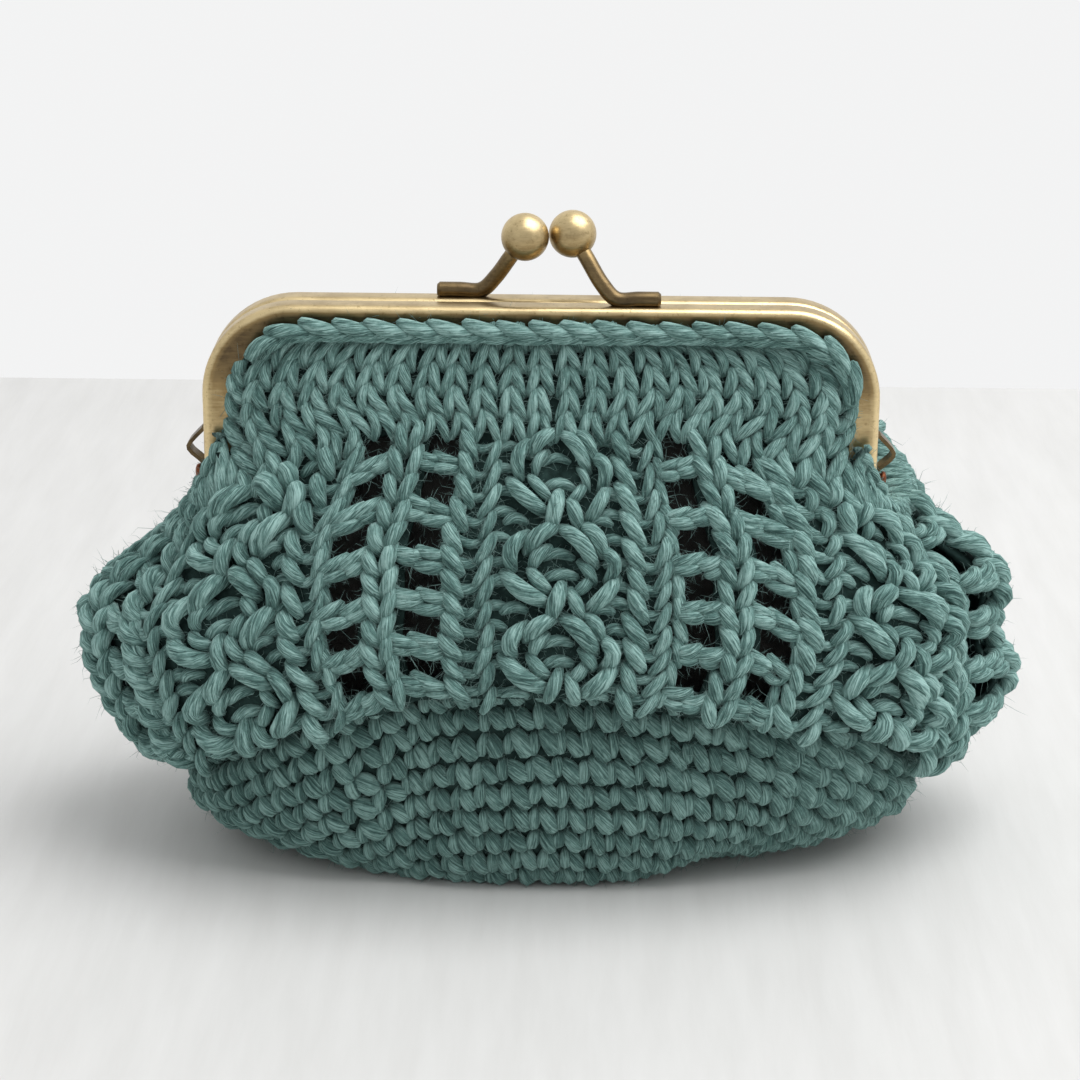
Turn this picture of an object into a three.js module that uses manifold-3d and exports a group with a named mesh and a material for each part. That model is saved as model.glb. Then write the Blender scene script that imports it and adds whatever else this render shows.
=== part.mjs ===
// Knitted clasp pouch: a hinged metal frame with two snap knobs, a knitted cable and lace body,
// a crocheted base and a dark lining. Millimetres, +Z up, the front faces -Y, and the origin lies
// on the table under the middle of the pouch.
import * as THREE from "three";
import { mergeVertices } from "three/addons/utils/BufferGeometryUtils.js";
import Module from "manifold-3d";

const wasm = await Module();
wasm.setup();

// Clasp frame
const FRAME_WIDTH = 120; // outside of both legs
const FRAME_TOP = 100.4; // outer face of the top bar above the table
const FRAME_CORNER = 16.5; // outer corner radius
const CHANNEL_DEPTH = 5.2; // from the outer face to the mouth that holds the fabric
const CHANNEL_THICKNESS = 5.5; // one half, front to back
const CHANNEL_ROUND = 1.3; // rounding of the channel's two outer edges
const SHEET = 0.7; // metal thickness of the channel
const CLEARANCE = 0.3; // between pieces that touch
const HINGE_HEIGHT = FRAME_TOP - 32.2;
const LEG_END = FRAME_TOP - 34.2;

// Hinge ears, rivets and the strap loops for a chain
const EAR_SHEET = 0.8;
const EAR_TOP = HINGE_HEIGHT + 2.6;
const EAR_REACH = 2.4; // past the rivet's axis
const RIVET_SHAFT = 0.95;
const RIVET_HEAD = 1.35;
const RIVET_HEAD_THICKNESS = 0.8;
const LOOP_SHEET = 0.8;
const LOOP_WIDTH = 3;
const LOOP_HEIGHT = 8.4;
const LOOP_REACH = 3; // how far its knee stands off the leg

// Snap knobs
const CLASP_SHIFT = 1.2; // the pair stands a little right of the frame's middle
const BALL_RADIUS = 4.2;
const BALL_OFFSET = { x: 4.15, y: 1.4 }; // from the middle of the pair
const BALL_HEIGHT = 11.8; // above the top bar
const STALK_RADIUS = 1.4;
const STALK_FOOT = { start: 19.8, end: 12 }; // along the top bar, from the middle of the pair
const STALK_BEND = { out: 9.3, rise: 2.7, lean: 0.7 };
const SOLDER_SINK = 0.25;

// Fabric
const KNIT_THICKNESS = 3.5;
const KNIT_EDGE_THICKNESS = 1.35; // pressed in the channel
const CROCHET_THICKNESS = 4;
const LINING_THICKNESS = 0.8;
const EDGE_CHAIN_RADIUS = 2.4;
const FABRIC_PLANE = 4.07; // the pressed knit's middle, from the plane between the halves

// The pattern repeats six times round the body. A station counts half repeats: even stations are
// cables and odd ones lace columns, 0 is the front cable and 3 the lace column on the right side.
const HALF_REPEATS = 12;
const QUARTER = 3;
const FLAP_MOUTH_STATION = 1.53; // column where the front or back flap enters a leg
const FLAP_EDGE_STATION = 1.62; // the flap's last column, pressed inside the leg
const LACE_HOLES = 6; // in each ladder beside a lace column
const HOLE_SHARE = 0.62; // of the way from one lace hole to the next
const CABLE_RINGS = 3;

// One half repeat from cable to lace column, as wall lines and how far each stands proud.
const HALF_REPEAT_LINES = [
  { at: 0.0, proud: 0.4, name: "cable middle" },
  { at: 0.13, proud: 1.2, name: "cable strand" },
  { at: 0.29, proud: -1.1, name: "gutter" },
  { at: 0.38, proud: 0.6, name: "thin rib" },
  { at: 0.47, proud: -0.4, name: "valley" },
  { at: 0.57, proud: 0.9, name: "thick rib" },
  { at: 0.66, proud: -0.3, name: "ladder" },
  { at: 0.86, proud: 0.2, name: "ladder end" },
  { at: 1.0, proud: 1.4, name: "lace column" },
];

// Outline of the knitted body, level by level.
const BODY_LEVELS = [
  { z: 100.4, halfWidth: 57, halfDepth: 5 },
  { z: 92.4, halfWidth: 57.5, halfDepth: 8 },
  { z: 84.4, halfWidth: 58, halfDepth: 12.5 },
  { z: 76.4, halfWidth: 58.5, halfDepth: 17.5 },
  { z: 68.4, halfWidth: 60.5, halfDepth: 24 },
  { z: 64, halfWidth: 63.5, halfDepth: 27 },
  { z: 59.6, halfWidth: 68.5, halfDepth: 29.6 },
  { z: 55, halfWidth: 75, halfDepth: 31.6 },
  { z: 50.5, halfWidth: 80, halfDepth: 33.8 },
  { z: 45.5, halfWidth: 82.8, halfDepth: 35.6 },
  { z: 38, halfWidth: 84, halfDepth: 37.4 },
  { z: 31, halfWidth: 82, halfDepth: 38.4 },
  { z: 25, halfWidth: 78.5, halfDepth: 38.4 },
  { z: 19, halfWidth: 73.5, halfDepth: 37.5 },
  { z: 13, halfWidth: 67.5, halfDepth: 36 },
  { z: 7, halfWidth: 62, halfDepth: 34 },
];
const BODY_SQUARENESS = { low: 2.15, high: 2.6, from: 52, to: 66 }; // fuller corners at the shoulders

// Upper and lower edge of the cable and lace band, from the middle of the front to the side.
const BAND_EDGES = [
  { station: 0, top: 80.9, bottom: 39.4 },
  { station: 0.75, top: 80.7, bottom: 38.4 },
  { station: 1, top: 80.4, bottom: 35.4 },
  { station: 1.3, top: 78.4, bottom: 34 },
  { station: 1.62, top: 74.4, bottom: 29.5 },
  { station: 2, top: 67.8, bottom: 23.5 },
  { station: 2.5, top: 64.7, bottom: 18.5 },
  { station: 3, top: 64.2, bottom: 17 },
];
const HEM_RAISE = { station: 2.1, width: 0.5, height: 6.5 }; // where the hem is caught up

// Folds that the gathered sides fall into. A fold of negative depth is a lobe that swells out.
const SIDE_FOLDS = [
  { station: 2.72, depth: 5.5, width: 0.22, top: 64, bottom: 20 },
  { station: 3.6, depth: -5.5, width: 0.8, top: 78, bottom: 40 },
  { station: 3.5, depth: -4.5, width: 0.7, top: 36, bottom: 6 },
  { station: 9, depth: 4, width: 0.9, top: 66, bottom: 44 },
  { station: 9.4, depth: 2.5, width: 0.2, top: 62, bottom: 20 },
  { station: 8.4, depth: 2.5, width: 0.2, top: 62, bottom: 20 },
];

// Above the hinge the front and back are flaps: these are their level rows.
const FLAP_ROWS = [
  { z: FRAME_TOP - 2.6, halfDepth: FABRIC_PLANE, thickness: KNIT_EDGE_THICKNESS },
  { z: FRAME_TOP - 5.6, halfDepth: FABRIC_PLANE, thickness: KNIT_EDGE_THICKNESS },
  { z: FRAME_TOP - 9.5, halfDepth: 6.2, thickness: 2.6 },
];
const FLAP_LOWER_ROWS = [0.36, 0.7]; // shares of the way from the last row to the band's top

// Crocheted base: the rim lies inside the knit's hem, and each ring is a share of it.
const BASE_INSET = { front: 4.6, side: 8 };
const BASE_RINGS = [
  { height: 1.0, front: 1.0, side: 1.0 },
  { height: 0.74, front: 1.0, side: 1.0 },
  { height: 0.56, front: 1.03, side: 1.02 },
  { height: 0.35, front: 1.02, side: 0.96 },
  { height: 0.17, front: 0.97, side: 0.82 },
  { height: 0.05, front: 0.9, side: 0.63 },
  { height: 0.0, front: 0.82, side: 0.44 },
];
const BASE_ROUNDING = { from: 0.15, to: 0.85 }; // share of a quarter where the side's rings take over
const BASE_SHIFT = -3; // the bottom lies a little left of the frame's middle
const BASE_DENT = { station: 11.4, width: 0.3, depth: 3, height: 0.5, spread: 0.35 };
const BASE_RIM_LAP = 2; // the rim's height above the hem
const HEM_DROP = 1.2;
const HEM_GAP = 0.7; // between the hem's inner edge and the base

// Lining bag, level by level.
const LINING_LEVELS = [
  { z: 94.4, halfWidth: 45, halfDepth: 2.7 },
  { z: 90.4, halfWidth: 52.4, halfDepth: 3.1 },
  { z: 84.4, halfWidth: 53.4, halfDepth: 6.6 },
  { z: 74.4, halfWidth: 53.6, halfDepth: 13.2 },
  { z: 66.4, halfWidth: 54.4, halfDepth: 18.6 },
  { z: 55, halfWidth: 60, halfDepth: 24.6 },
  { z: 43, halfWidth: 62, halfDepth: 27 },
  { z: 30, halfWidth: 60, halfDepth: 26.4 },
  { z: 18, halfWidth: 54, halfDepth: 25.4 },
  { z: 10, halfWidth: 46, halfDepth: 22 },
  { z: 5.6, halfWidth: 36, halfDepth: 17 },
];
const LINING_SQUARENESS = 2.3;
const LINING_COLUMNS = 32;
const BASE_COLUMNS = 40;

const COLOURS = {
  yarn: 0x5f8f86,
  crochet: 0x57857c,
  metal: 0x9a8355,
  lining: 0x22211f,
};

// Small maths

function lerp(a, b, t) {
  return a + (b - a) * t;
}

function smoothstep(low, high, value) {
  const t = Math.min(1, Math.max(0, (value - low) / (high - low)));
  return t * t * (3 - 2 * t);
}

// Reads a table by one column, with a smooth curve through its rows.
function readTable(table, key, at, column) {
  const rising = table[1][key] > table[0][key];
  const rows = rising ? table : [...table].reverse();
  let i = 0;
  while (i < rows.length - 2 && rows[i + 1][key] < at) i += 1;
  const before = rows[Math.max(0, i - 1)];
  const [p1, p2] = [rows[i], rows[i + 1]];
  const after = rows[Math.min(rows.length - 1, i + 2)];
  const span = p2[key] - p1[key];
  const t = Math.min(1, Math.max(0, (at - p1[key]) / span));
  const slope1 = (p2[column] - before[column]) / (p2[key] - before[key]);
  const slope2 = (after[column] - p1[column]) / (after[key] - p1[key]);
  const h00 = 2 * t ** 3 - 3 * t ** 2 + 1;
  const h10 = t ** 3 - 2 * t ** 2 + t;
  const h01 = -2 * t ** 3 + 3 * t ** 2;
  const h11 = t ** 3 - t ** 2;
  return h00 * p1[column] + h10 * span * slope1 + h01 * p2[column] + h11 * span * slope2;
}

function signedPower(value, power) {
  return Math.sign(value) * Math.abs(value) ** power;
}

// Distance between two stations round the body.
function stationGap(a, b) {
  const gap = Math.abs(a - b) % HALF_REPEATS;
  return Math.min(gap, HALF_REPEATS - gap);
}

// A station as a quarter's share, 0 at the front or back middle and 1 at the side, and its signs.
function quarterOf(station) {
  const s = ((station % HALF_REPEATS) + HALF_REPEATS) % HALF_REPEATS;
  const part = Math.floor(s / QUARTER);
  const share = (s - part * QUARTER) / QUARTER;
  return {
    share: part % 2 === 0 ? share : 1 - share,
    right: part < 2 ? 1 : -1,
    front: part === 0 || part === 3 ? -1 : 1,
  };
}

// Solids

function solidOf(geometry) {
  const bare = geometry.clone();
  bare.deleteAttribute("normal");
  bare.deleteAttribute("uv");
  const merged = mergeVertices(bare, 1e-4);
  return new wasm.Manifold(
    new wasm.Mesh({
      numProp: 3,
      vertProperties: new Float32Array(merged.attributes.position.array),
      triVerts: new Uint32Array(merged.index.array),
    }),
  );
}

function geometryOf(solid) {
  const mesh = solid.getMesh();
  const geometry = new THREE.BufferGeometry();
  geometry.setAttribute("position", new THREE.BufferAttribute(mesh.vertProperties, 3));
  geometry.setIndex(new THREE.BufferAttribute(mesh.triVerts, 1));
  geometry.computeVertexNormals();
  return geometry;
}

function boxBetween(low, high) {
  const box = new THREE.BoxGeometry(high[0] - low[0], high[1] - low[1], high[2] - low[2]);
  return box.translate((low[0] + high[0]) / 2, (low[1] + high[1]) / 2, (low[2] + high[2]) / 2);
}

function geometryFrom(points, triangles) {
  const geometry = new THREE.BufferGeometry();
  geometry.setAttribute("position", new THREE.Float32BufferAttribute(points.flat(), 3));
  geometry.setIndex(triangles.flat());
  geometry.computeVertexNormals();
  return geometry;
}

// A solid through a row of like rings, each a loop that turns left round the way it goes.
function loftThrough(rings) {
  const size = rings[0].length;
  const triangles = [];
  for (let k = 0; k + 1 < rings.length; k += 1) {
    for (let i = 0; i < size; i += 1) {
      const [a, b] = [k * size + i, k * size + ((i + 1) % size)];
      triangles.push([a, b, b + size], [a, b + size, a + size]);
    }
  }
  return { points: rings.flat(), triangles, size };
}

// A wall on a grid of rows and columns that closes round. Cells that are left out are gaps.
function wallOn(outer, inner, isThere) {
  const [rows, columns] = [outer.length, outer[0].length];
  const half = rows * columns;
  const index = (side, k, j) => side * half + k * columns + (j % columns);
  const there = (k, j) => k >= 0 && k < rows - 1 && isThere(k, (j + columns) % columns);
  const triangles = [];
  const quad = (a, b, c, d) => triangles.push([a, b, c], [a, c, d]);
  for (let k = 0; k < rows - 1; k += 1) {
    for (let j = 0; j < columns; j += 1) {
      if (!there(k, j)) continue;
      const [a, b, c, d] = [[k, j], [k + 1, j], [k + 1, j + 1], [k, j + 1]];
      quad(index(0, ...a), index(0, ...b), index(0, ...c), index(0, ...d));
      quad(index(1, ...d), index(1, ...c), index(1, ...b), index(1, ...a));
      const edge = (p, q) => quad(index(0, ...q), index(0, ...p), index(1, ...p), index(1, ...q));
      if (!there(k, j - 1)) edge(a, b);
      if (!there(k + 1, j)) edge(b, c);
      if (!there(k, j + 1)) edge(c, d);
      if (!there(k - 1, j)) edge(d, a);
    }
  }
  return dropUnused([...outer.flat(), ...inner.flat()], triangles);
}

// A bag: a wall that is open at its first row and closed by a middle point below its last.
function bagOn(outer, inner) {
  const [rows, columns] = [outer.length, outer[0].length];
  const half = rows * columns;
  const triangles = [];
  const quad = (a, b, c, d) => triangles.push([a, b, c], [a, c, d]);
  const middle = (ring) => {
    const sum = ring.reduce((total, p) => total.map((v, i) => v + p[i]), [0, 0, 0]);
    return sum.map((v) => v / ring.length);
  };
  const points = [...outer.flat(), ...inner.flat(), middle(outer[rows - 1]), middle(inner[rows - 1])];
  for (let j = 0; j < columns; j += 1) {
    const next = (j + 1) % columns;
    for (let k = 0; k < rows - 1; k += 1) {
      const [a, d] = [k * columns + j, k * columns + next];
      quad(a, a + columns, d + columns, d);
      quad(half + d, half + d + columns, half + a + columns, half + a);
    }
    quad(j, next, half + next, half + j);
    const last = (rows - 1) * columns;
    triangles.push([last + j, 2 * half, last + next]);
    triangles.push([half + last + next, 2 * half + 1, half + last + j]);
  }
  return geometryFrom(points, triangles);
}

function dropUnused(points, triangles) {
  const places = new Map();
  const kept = [];
  const moved = triangles.map((triangle) =>
    triangle.map((i) => {
      if (!places.has(i)) {
        places.set(i, kept.length);
        kept.push(points[i]);
      }
      return places.get(i);
    }),
  );
  return geometryFrom(kept, moved);
}

// Shape of the body

// Points along a quarter of a rounded section, evenly by length, from its middle to its side.
const QUARTER_STEPS = 48;
function quarterLengths(halfWidth, halfDepth, squareness) {
  const steps = [{ x: 0, depth: halfDepth, length: 0 }];
  for (let i = 1; i <= QUARTER_STEPS; i += 1) {
    const angle = (i / QUARTER_STEPS) * (Math.PI / 2);
    const x = halfWidth * signedPower(Math.sin(angle), 2 / squareness);
    const depth = halfDepth * signedPower(Math.cos(angle), 2 / squareness);
    const last = steps[i - 1];
    steps.push({ x, depth, length: last.length + Math.hypot(x - last.x, depth - last.depth) });
  }
  return steps;
}

function alongQuarter(steps, share) {
  const wanted = share * steps[QUARTER_STEPS].length;
  let i = 1;
  while (i < QUARTER_STEPS && steps[i].length < wanted) i += 1;
  const [a, b] = [steps[i - 1], steps[i]];
  const t = (wanted - a.length) / (b.length - a.length);
  return { x: lerp(a.x, b.x, t), depth: lerp(a.depth, b.depth, t) };
}

// The columns beyond a flap gather at the hinge: near it they share a short stretch of the section.
// Low down the columns draw together a little towards the middle of the front and the back.
const GATHER = { from: 50, to: 66, flapShare: 0.84, slope: 0.75 };
const DRAW_IN = { from: 52, to: 34, slope: 0.79 };

// Crowds the middle of a unit range: the slope at its start is stated, and both ends stay.
function crowd(share, slope) {
  return slope * share + (1 - slope) * share ** 3;
}

function gatheredShare(share, z) {
  const flap = FLAP_EDGE_STATION / QUARTER;
  const drawing = 1 - smoothstep(DRAW_IN.to, DRAW_IN.from, z);
  const drawn = crowd(share, lerp(1, DRAW_IN.slope, drawing));
  const gathered =
    share < flap
      ? crowd(share / flap, GATHER.slope) * GATHER.flapShare
      : lerp(GATHER.flapShare, 1, (share - flap) / (1 - flap));
  return lerp(drawn, gathered, smoothstep(GATHER.from, GATHER.to, z));
}

function bodyPlace(station, z) {
  const { share, right, front } = quarterOf(station);
  const steps = quarterLengths(
    readTable(BODY_LEVELS, "z", z, "halfWidth"),
    readTable(BODY_LEVELS, "z", z, "halfDepth"),
    lerp(
      BODY_SQUARENESS.low,
      BODY_SQUARENESS.high,
      smoothstep(BODY_SQUARENESS.from, BODY_SQUARENESS.to, z),
    ),
  );
  const place = alongQuarter(steps, gatheredShare(share, z));
  return [right * place.x, front * place.depth];
}

// The level outward direction of the body's section at a station.
function bodyOutward(station, z) {
  const [ahead, behind] = [bodyPlace(station + 0.02, z), bodyPlace(station - 0.02, z)];
  const along = new THREE.Vector2(ahead[0] - behind[0], ahead[1] - behind[1]).normalize();
  return [along.y, -along.x];
}

function foldDepth(station, z) {
  return SIDE_FOLDS.reduce((sum, fold) => {
    const across = Math.exp(-((stationGap(station, fold.station) / fold.width) ** 2));
    const along = smoothstep(fold.bottom, fold.bottom + 10, z) * (1 - smoothstep(fold.top - 8, fold.top, z));
    return sum + fold.depth * across * along;
  }, 0);
}

// A point of the body's outer face, standing proud by a stated height.
function bodyPoint(station, z, proud = 0) {
  const place = bodyPlace(station, z);
  const outward = bodyOutward(station, z);
  const height = proud - foldDepth(station, z);
  return [place[0] + outward[0] * height, place[1] + outward[1] * height, z];
}

function bandEdge(station, edge) {
  const { share } = quarterOf(station);
  const level = readTable(BAND_EDGES, "station", share * QUARTER, edge);
  if (edge === "top") return level;
  const gap = stationGap(station, HEM_RAISE.station) / HEM_RAISE.width;
  return level + HEM_RAISE.height * Math.exp(-(gap ** 2));
}

// Wall columns all the way round, with each one's line of the half repeat.
function bandColumns() {
  const columns = [];
  for (let half = 0; half < HALF_REPEATS; half += 1) {
    const fromCable = half % 2 === 0;
    const lines = fromCable ? HALF_REPEAT_LINES : [...HALF_REPEAT_LINES].reverse();
    lines.slice(0, -1).forEach((line, i) => {
      const next = lines[i + 1];
      const hole = line.name.startsWith("ladder") && next.name.startsWith("ladder");
      columns.push({ station: half + (fromCable ? line.at : 1 - line.at), line, hole });
    });
  }
  return columns;
}

// How far a column stands proud at a share of the band's height: the cable's rings swell and part.
const CABLE_SWELL = 1.0;
function columnProud(line, share) {
  const swell = Math.cos(2 * Math.PI * CABLE_RINGS * share) * CABLE_SWELL;
  if (line.name === "cable middle") return line.proud + swell;
  if (line.name === "cable strand") return line.proud - 0.5 * swell;
  return line.proud;
}

// Half width of the frame's outline at a level, measured a stated depth in from its outer face.
function frameHalfWidth(z, depth) {
  const radius = FRAME_CORNER - depth;
  const rise = z - (FRAME_TOP - FRAME_CORNER);
  const straight = FRAME_WIDTH / 2 - FRAME_CORNER;
  if (rise <= 0) return straight + radius;
  return straight + Math.sqrt(Math.max(0, radius ** 2 - rise ** 2));
}

// A flap's point: free columns bulge out of the frame's plane, the last two enter a leg's channel.
const FLAP_SQUARENESS = 2.5;
const MOUTH_GAP = 0.4;
const TUCK_DEPTH = 2.6;
function flapPlace(station, z, halfDepth, tucked) {
  const { share, right, front } = quarterOf(station);
  const column = share * QUARTER;
  const mouth = frameHalfWidth(z, CHANNEL_DEPTH) - MOUTH_GAP;
  if (column > FLAP_MOUTH_STATION + 1e-6) {
    const x = tucked ? frameHalfWidth(z, TUCK_DEPTH) : mouth;
    return [right * x, front * FABRIC_PLANE];
  }
  const reach = tucked ? mouth : mouth - 1.4;
  const share2 = column / FLAP_MOUTH_STATION;
  const bulge = Math.max(0, 1 - share2 ** FLAP_SQUARENESS) ** (1 / FLAP_SQUARENESS);
  return [right * reach * share2, front * lerp(FABRIC_PLANE, halfDepth, bulge)];
}

// Pieces

function makeKnitBody() {
  const columns = bandColumns();
  const rows = [];
  const inFlap = (station) => quarterOf(station).share * QUARTER <= FLAP_EDGE_STATION + 1e-6;
  const addRow = (kind, pointsAt) => {
    const pairs = columns.map((column) => pointsAt(column));
    rows.push({ kind, outer: pairs.map((pair) => pair[0]), inner: pairs.map((pair) => pair[1]) });
  };
  const levelPair = (place, z, front, thickness) => {
    const half = (front * thickness) / 2;
    const [x, y] = place;
    return [
      [x, y + half, z],
      [x, y - half, z],
    ];
  };
  FLAP_ROWS.forEach((row, i) =>
    addRow("flap", ({ station }) => {
      const { front, right, share } = quarterOf(station);
      const atEdge = share * QUARTER >= FLAP_MOUTH_STATION - 1e-6;
      const thickness = atEdge ? KNIT_EDGE_THICKNESS : row.thickness;
      if (i > 0) {
        return levelPair(flapPlace(station, row.z, row.halfDepth, true), row.z, front, thickness);
      }
      const straight = FRAME_WIDTH / 2 - FRAME_CORNER;
      const x = (right * straight * share * QUARTER) / FLAP_EDGE_STATION;
      return levelPair([x, front * FABRIC_PLANE], row.z, front, row.thickness);
    }),
  );
  FLAP_LOWER_ROWS.forEach((down, i) =>
    addRow("flap", ({ station }) => {
      const { front, share } = quarterOf(station);
      const z = lerp(FLAP_ROWS[FLAP_ROWS.length - 1].z, bandEdge(station, "top"), down);
      const halfDepth = readTable(BODY_LEVELS, "z", z, "halfDepth");
      const atEdge = share * QUARTER >= FLAP_MOUTH_STATION - 1e-6;
      const thickness = atEdge ? KNIT_EDGE_THICKNESS : KNIT_THICKNESS;
      const place = flapPlace(station, z, halfDepth - thickness / 2, i === 0);
      return levelPair(place, z, front, thickness);
    }),
  );
  const flapRows = rows.length;
  const shares = [];
  for (let i = 0; i < LACE_HOLES; i += 1) {
    shares.push(i / LACE_HOLES, (i + HOLE_SHARE) / LACE_HOLES);
  }
  shares.push(1);
  shares.forEach((share) =>
    addRow("band", ({ station, line }) => {
      const z = lerp(bandEdge(station, "top"), bandEdge(station, "bottom"), share);
      const proud = columnProud(line, share) * smoothstep(0, 0.1, share);
      const lift = share === 1 ? HEM_DROP + 1.5 : 0; // the hem's inner corner lies above its outer one
      return [bodyPoint(station, z, proud), bodyPoint(station, z + lift, -KNIT_THICKNESS)];
    }),
  );
  addRow("hem", ({ station }) => {
    const z = bandEdge(station, "bottom");
    const [x, y] = bodyPoint(station, z, HEM_GAP - baseInset(station));
    return [
      [x, y, z - HEM_DROP],
      [x, y, z + HEM_DROP],
    ];
  });
  const isThere = (k, j) => {
    const { station, hole } = columns[j];
    if (k < flapRows) {
      const next = columns[(j + 1) % columns.length].station;
      return inFlap(station) && inFlap(next) && !crossesSide(station, next);
    }
    const bandRow = k - flapRows;
    return !(hole && bandRow % 2 === 0 && bandRow < 2 * LACE_HOLES);
  };
  return wallOn(
    rows.map((row) => row.outer),
    rows.map((row) => row.inner),
    isThere,
  );
}

// Two neighbouring columns on either side of a side seam.
function crossesSide(station, next) {
  return quarterOf(station).front !== quarterOf(next).front && stationGap(station, next) > 1;
}

function baseInset(station) {
  const { share } = quarterOf(station);
  return lerp(BASE_INSET.front, BASE_INSET.side, share ** 2);
}

function makeCrochetBase() {
  const stations = Array.from({ length: BASE_COLUMNS }, (_, j) => (j * HALF_REPEATS) / BASE_COLUMNS);
  const ringAt = (ring, thickness) =>
    stations.map((station) => {
      const rimHeight = bandEdge(station, "bottom") + BASE_RIM_LAP;
      const rim = bodyPoint(station, bandEdge(station, "bottom"), -baseInset(station));
      const dent =
        BASE_DENT.depth *
        Math.exp(-((stationGap(station, BASE_DENT.station) / BASE_DENT.width) ** 2)) *
        Math.exp(-(((ring.height - BASE_DENT.height) / BASE_DENT.spread) ** 2));
      const length = Math.hypot(rim[0], rim[1]);
      const sideways = smoothstep(BASE_ROUNDING.from, BASE_ROUNDING.to, quarterOf(station).share);
      const dented = (dent * smoothstep(0, 0.1, ring.height)) / length;
      const reach = lerp(ring.front, ring.side, sideways) - dented;
      const inward = 1 - thickness / length;
      return [
        rim[0] * reach * inward + BASE_SHIFT * (1 - ring.height) ** 2,
        rim[1] * reach * inward,
        lerp(thickness, rimHeight, ring.height),
      ];
    });
  return bagOn(
    BASE_RINGS.map((ring) => ringAt(ring, 0)),
    BASE_RINGS.map((ring) => ringAt(ring, CROCHET_THICKNESS)),
  );
}

function makeLining() {
  const turns = Array.from({ length: LINING_COLUMNS }, (_, j) => (j * 2 * Math.PI) / LINING_COLUMNS);
  const ringAt = ({ z, halfWidth, halfDepth }, inset) =>
    turns.map((turn) => {
      const power = 2 / LINING_SQUARENESS;
      return [
        (halfWidth - inset) * signedPower(Math.sin(turn), power),
        -(halfDepth - inset) * signedPower(Math.cos(turn), power),
        z,
      ];
    });
  const bottom = LINING_LEVELS[LINING_LEVELS.length - 1];
  const insideLevels = LINING_LEVELS.map((level) =>
    level === bottom ? { ...level, z: level.z + LINING_THICKNESS } : level,
  );
  return bagOn(
    LINING_LEVELS.map((level) => ringAt(level, 0)),
    insideLevels.map((level) => ringAt(level, LINING_THICKNESS)),
  );
}

// The channel's section as [depth from the outer face, front to back], with its mouth at full depth.
function channelSection() {
  const half = CHANNEL_THICKNESS / 2;
  const round = CHANNEL_ROUND;
  const arc = (side) =>
    [0, 0.5, 1].map((t) => {
      const angle = (t * Math.PI) / 2;
      return [round - round * Math.sin(angle), side * (half - round + round * Math.cos(angle))];
    });
  return [
    [CHANNEL_DEPTH, half],
    ...arc(1),
    ...arc(-1).reverse(),
    [CHANNEL_DEPTH, -half],
    [CHANNEL_DEPTH, SHEET - half],
    [SHEET, SHEET - half],
    [SHEET, half - SHEET],
    [CHANNEL_DEPTH, half - SHEET],
  ];
}

const CORNER_STEPS = 6;
function channelSweep(middleY) {
  const section = channelSection();
  const straight = FRAME_WIDTH / 2 - FRAME_CORNER;
  const centreZ = FRAME_TOP - FRAME_CORNER;
  const rings = [];
  const ring = (side, angle, drop) =>
    section.map(([depth, y]) => {
      const radius = FRAME_CORNER - depth;
      return [
        side * (straight + radius * Math.cos(angle)),
        middleY + y,
        centreZ + radius * Math.sin(angle) - drop,
      ];
    });
  const step = Math.PI / 2 / CORNER_STEPS;
  const angles = Array.from({ length: CORNER_STEPS + 1 }, (_, i) => i * step);
  rings.push(ring(-1, 0, centreZ - LEG_END));
  angles.forEach((angle) => rings.push(ring(-1, angle, 0)));
  [...angles].reverse().forEach((angle) => rings.push(ring(1, angle, 0)));
  rings.push(ring(1, 0, centreZ - LEG_END));
  const { points, triangles, size } = loftThrough(rings);
  const outline = section.map(([depth, y]) => new THREE.Vector2(depth, y));
  const cap = THREE.ShapeUtils.triangulateShape(outline, []);
  const last = (rings.length - 1) * size;
  cap.forEach(([a, b, c]) => triangles.push([c, b, a], [last + a, last + b, last + c]));
  return orientOutwards(geometryFrom(points, triangles));
}

// Turns a closed mesh right side out if its faces point inwards.
function orientOutwards(geometry) {
  const position = geometry.attributes.position;
  const corner = [new THREE.Vector3(), new THREE.Vector3(), new THREE.Vector3()];
  const index = geometry.index.array;
  let volume = 0;
  for (let i = 0; i < index.length; i += 3) {
    corner.forEach((v, k) => v.fromBufferAttribute(position, index[i + k]));
    volume += corner[0].dot(corner[1].clone().cross(corner[2]));
  }
  if (volume < 0) {
    for (let i = 0; i < index.length; i += 3) {
      [index[i + 1], index[i + 2]] = [index[i + 2], index[i + 1]];
    }
  }
  geometry.computeVertexNormals();
  return geometry;
}

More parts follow.
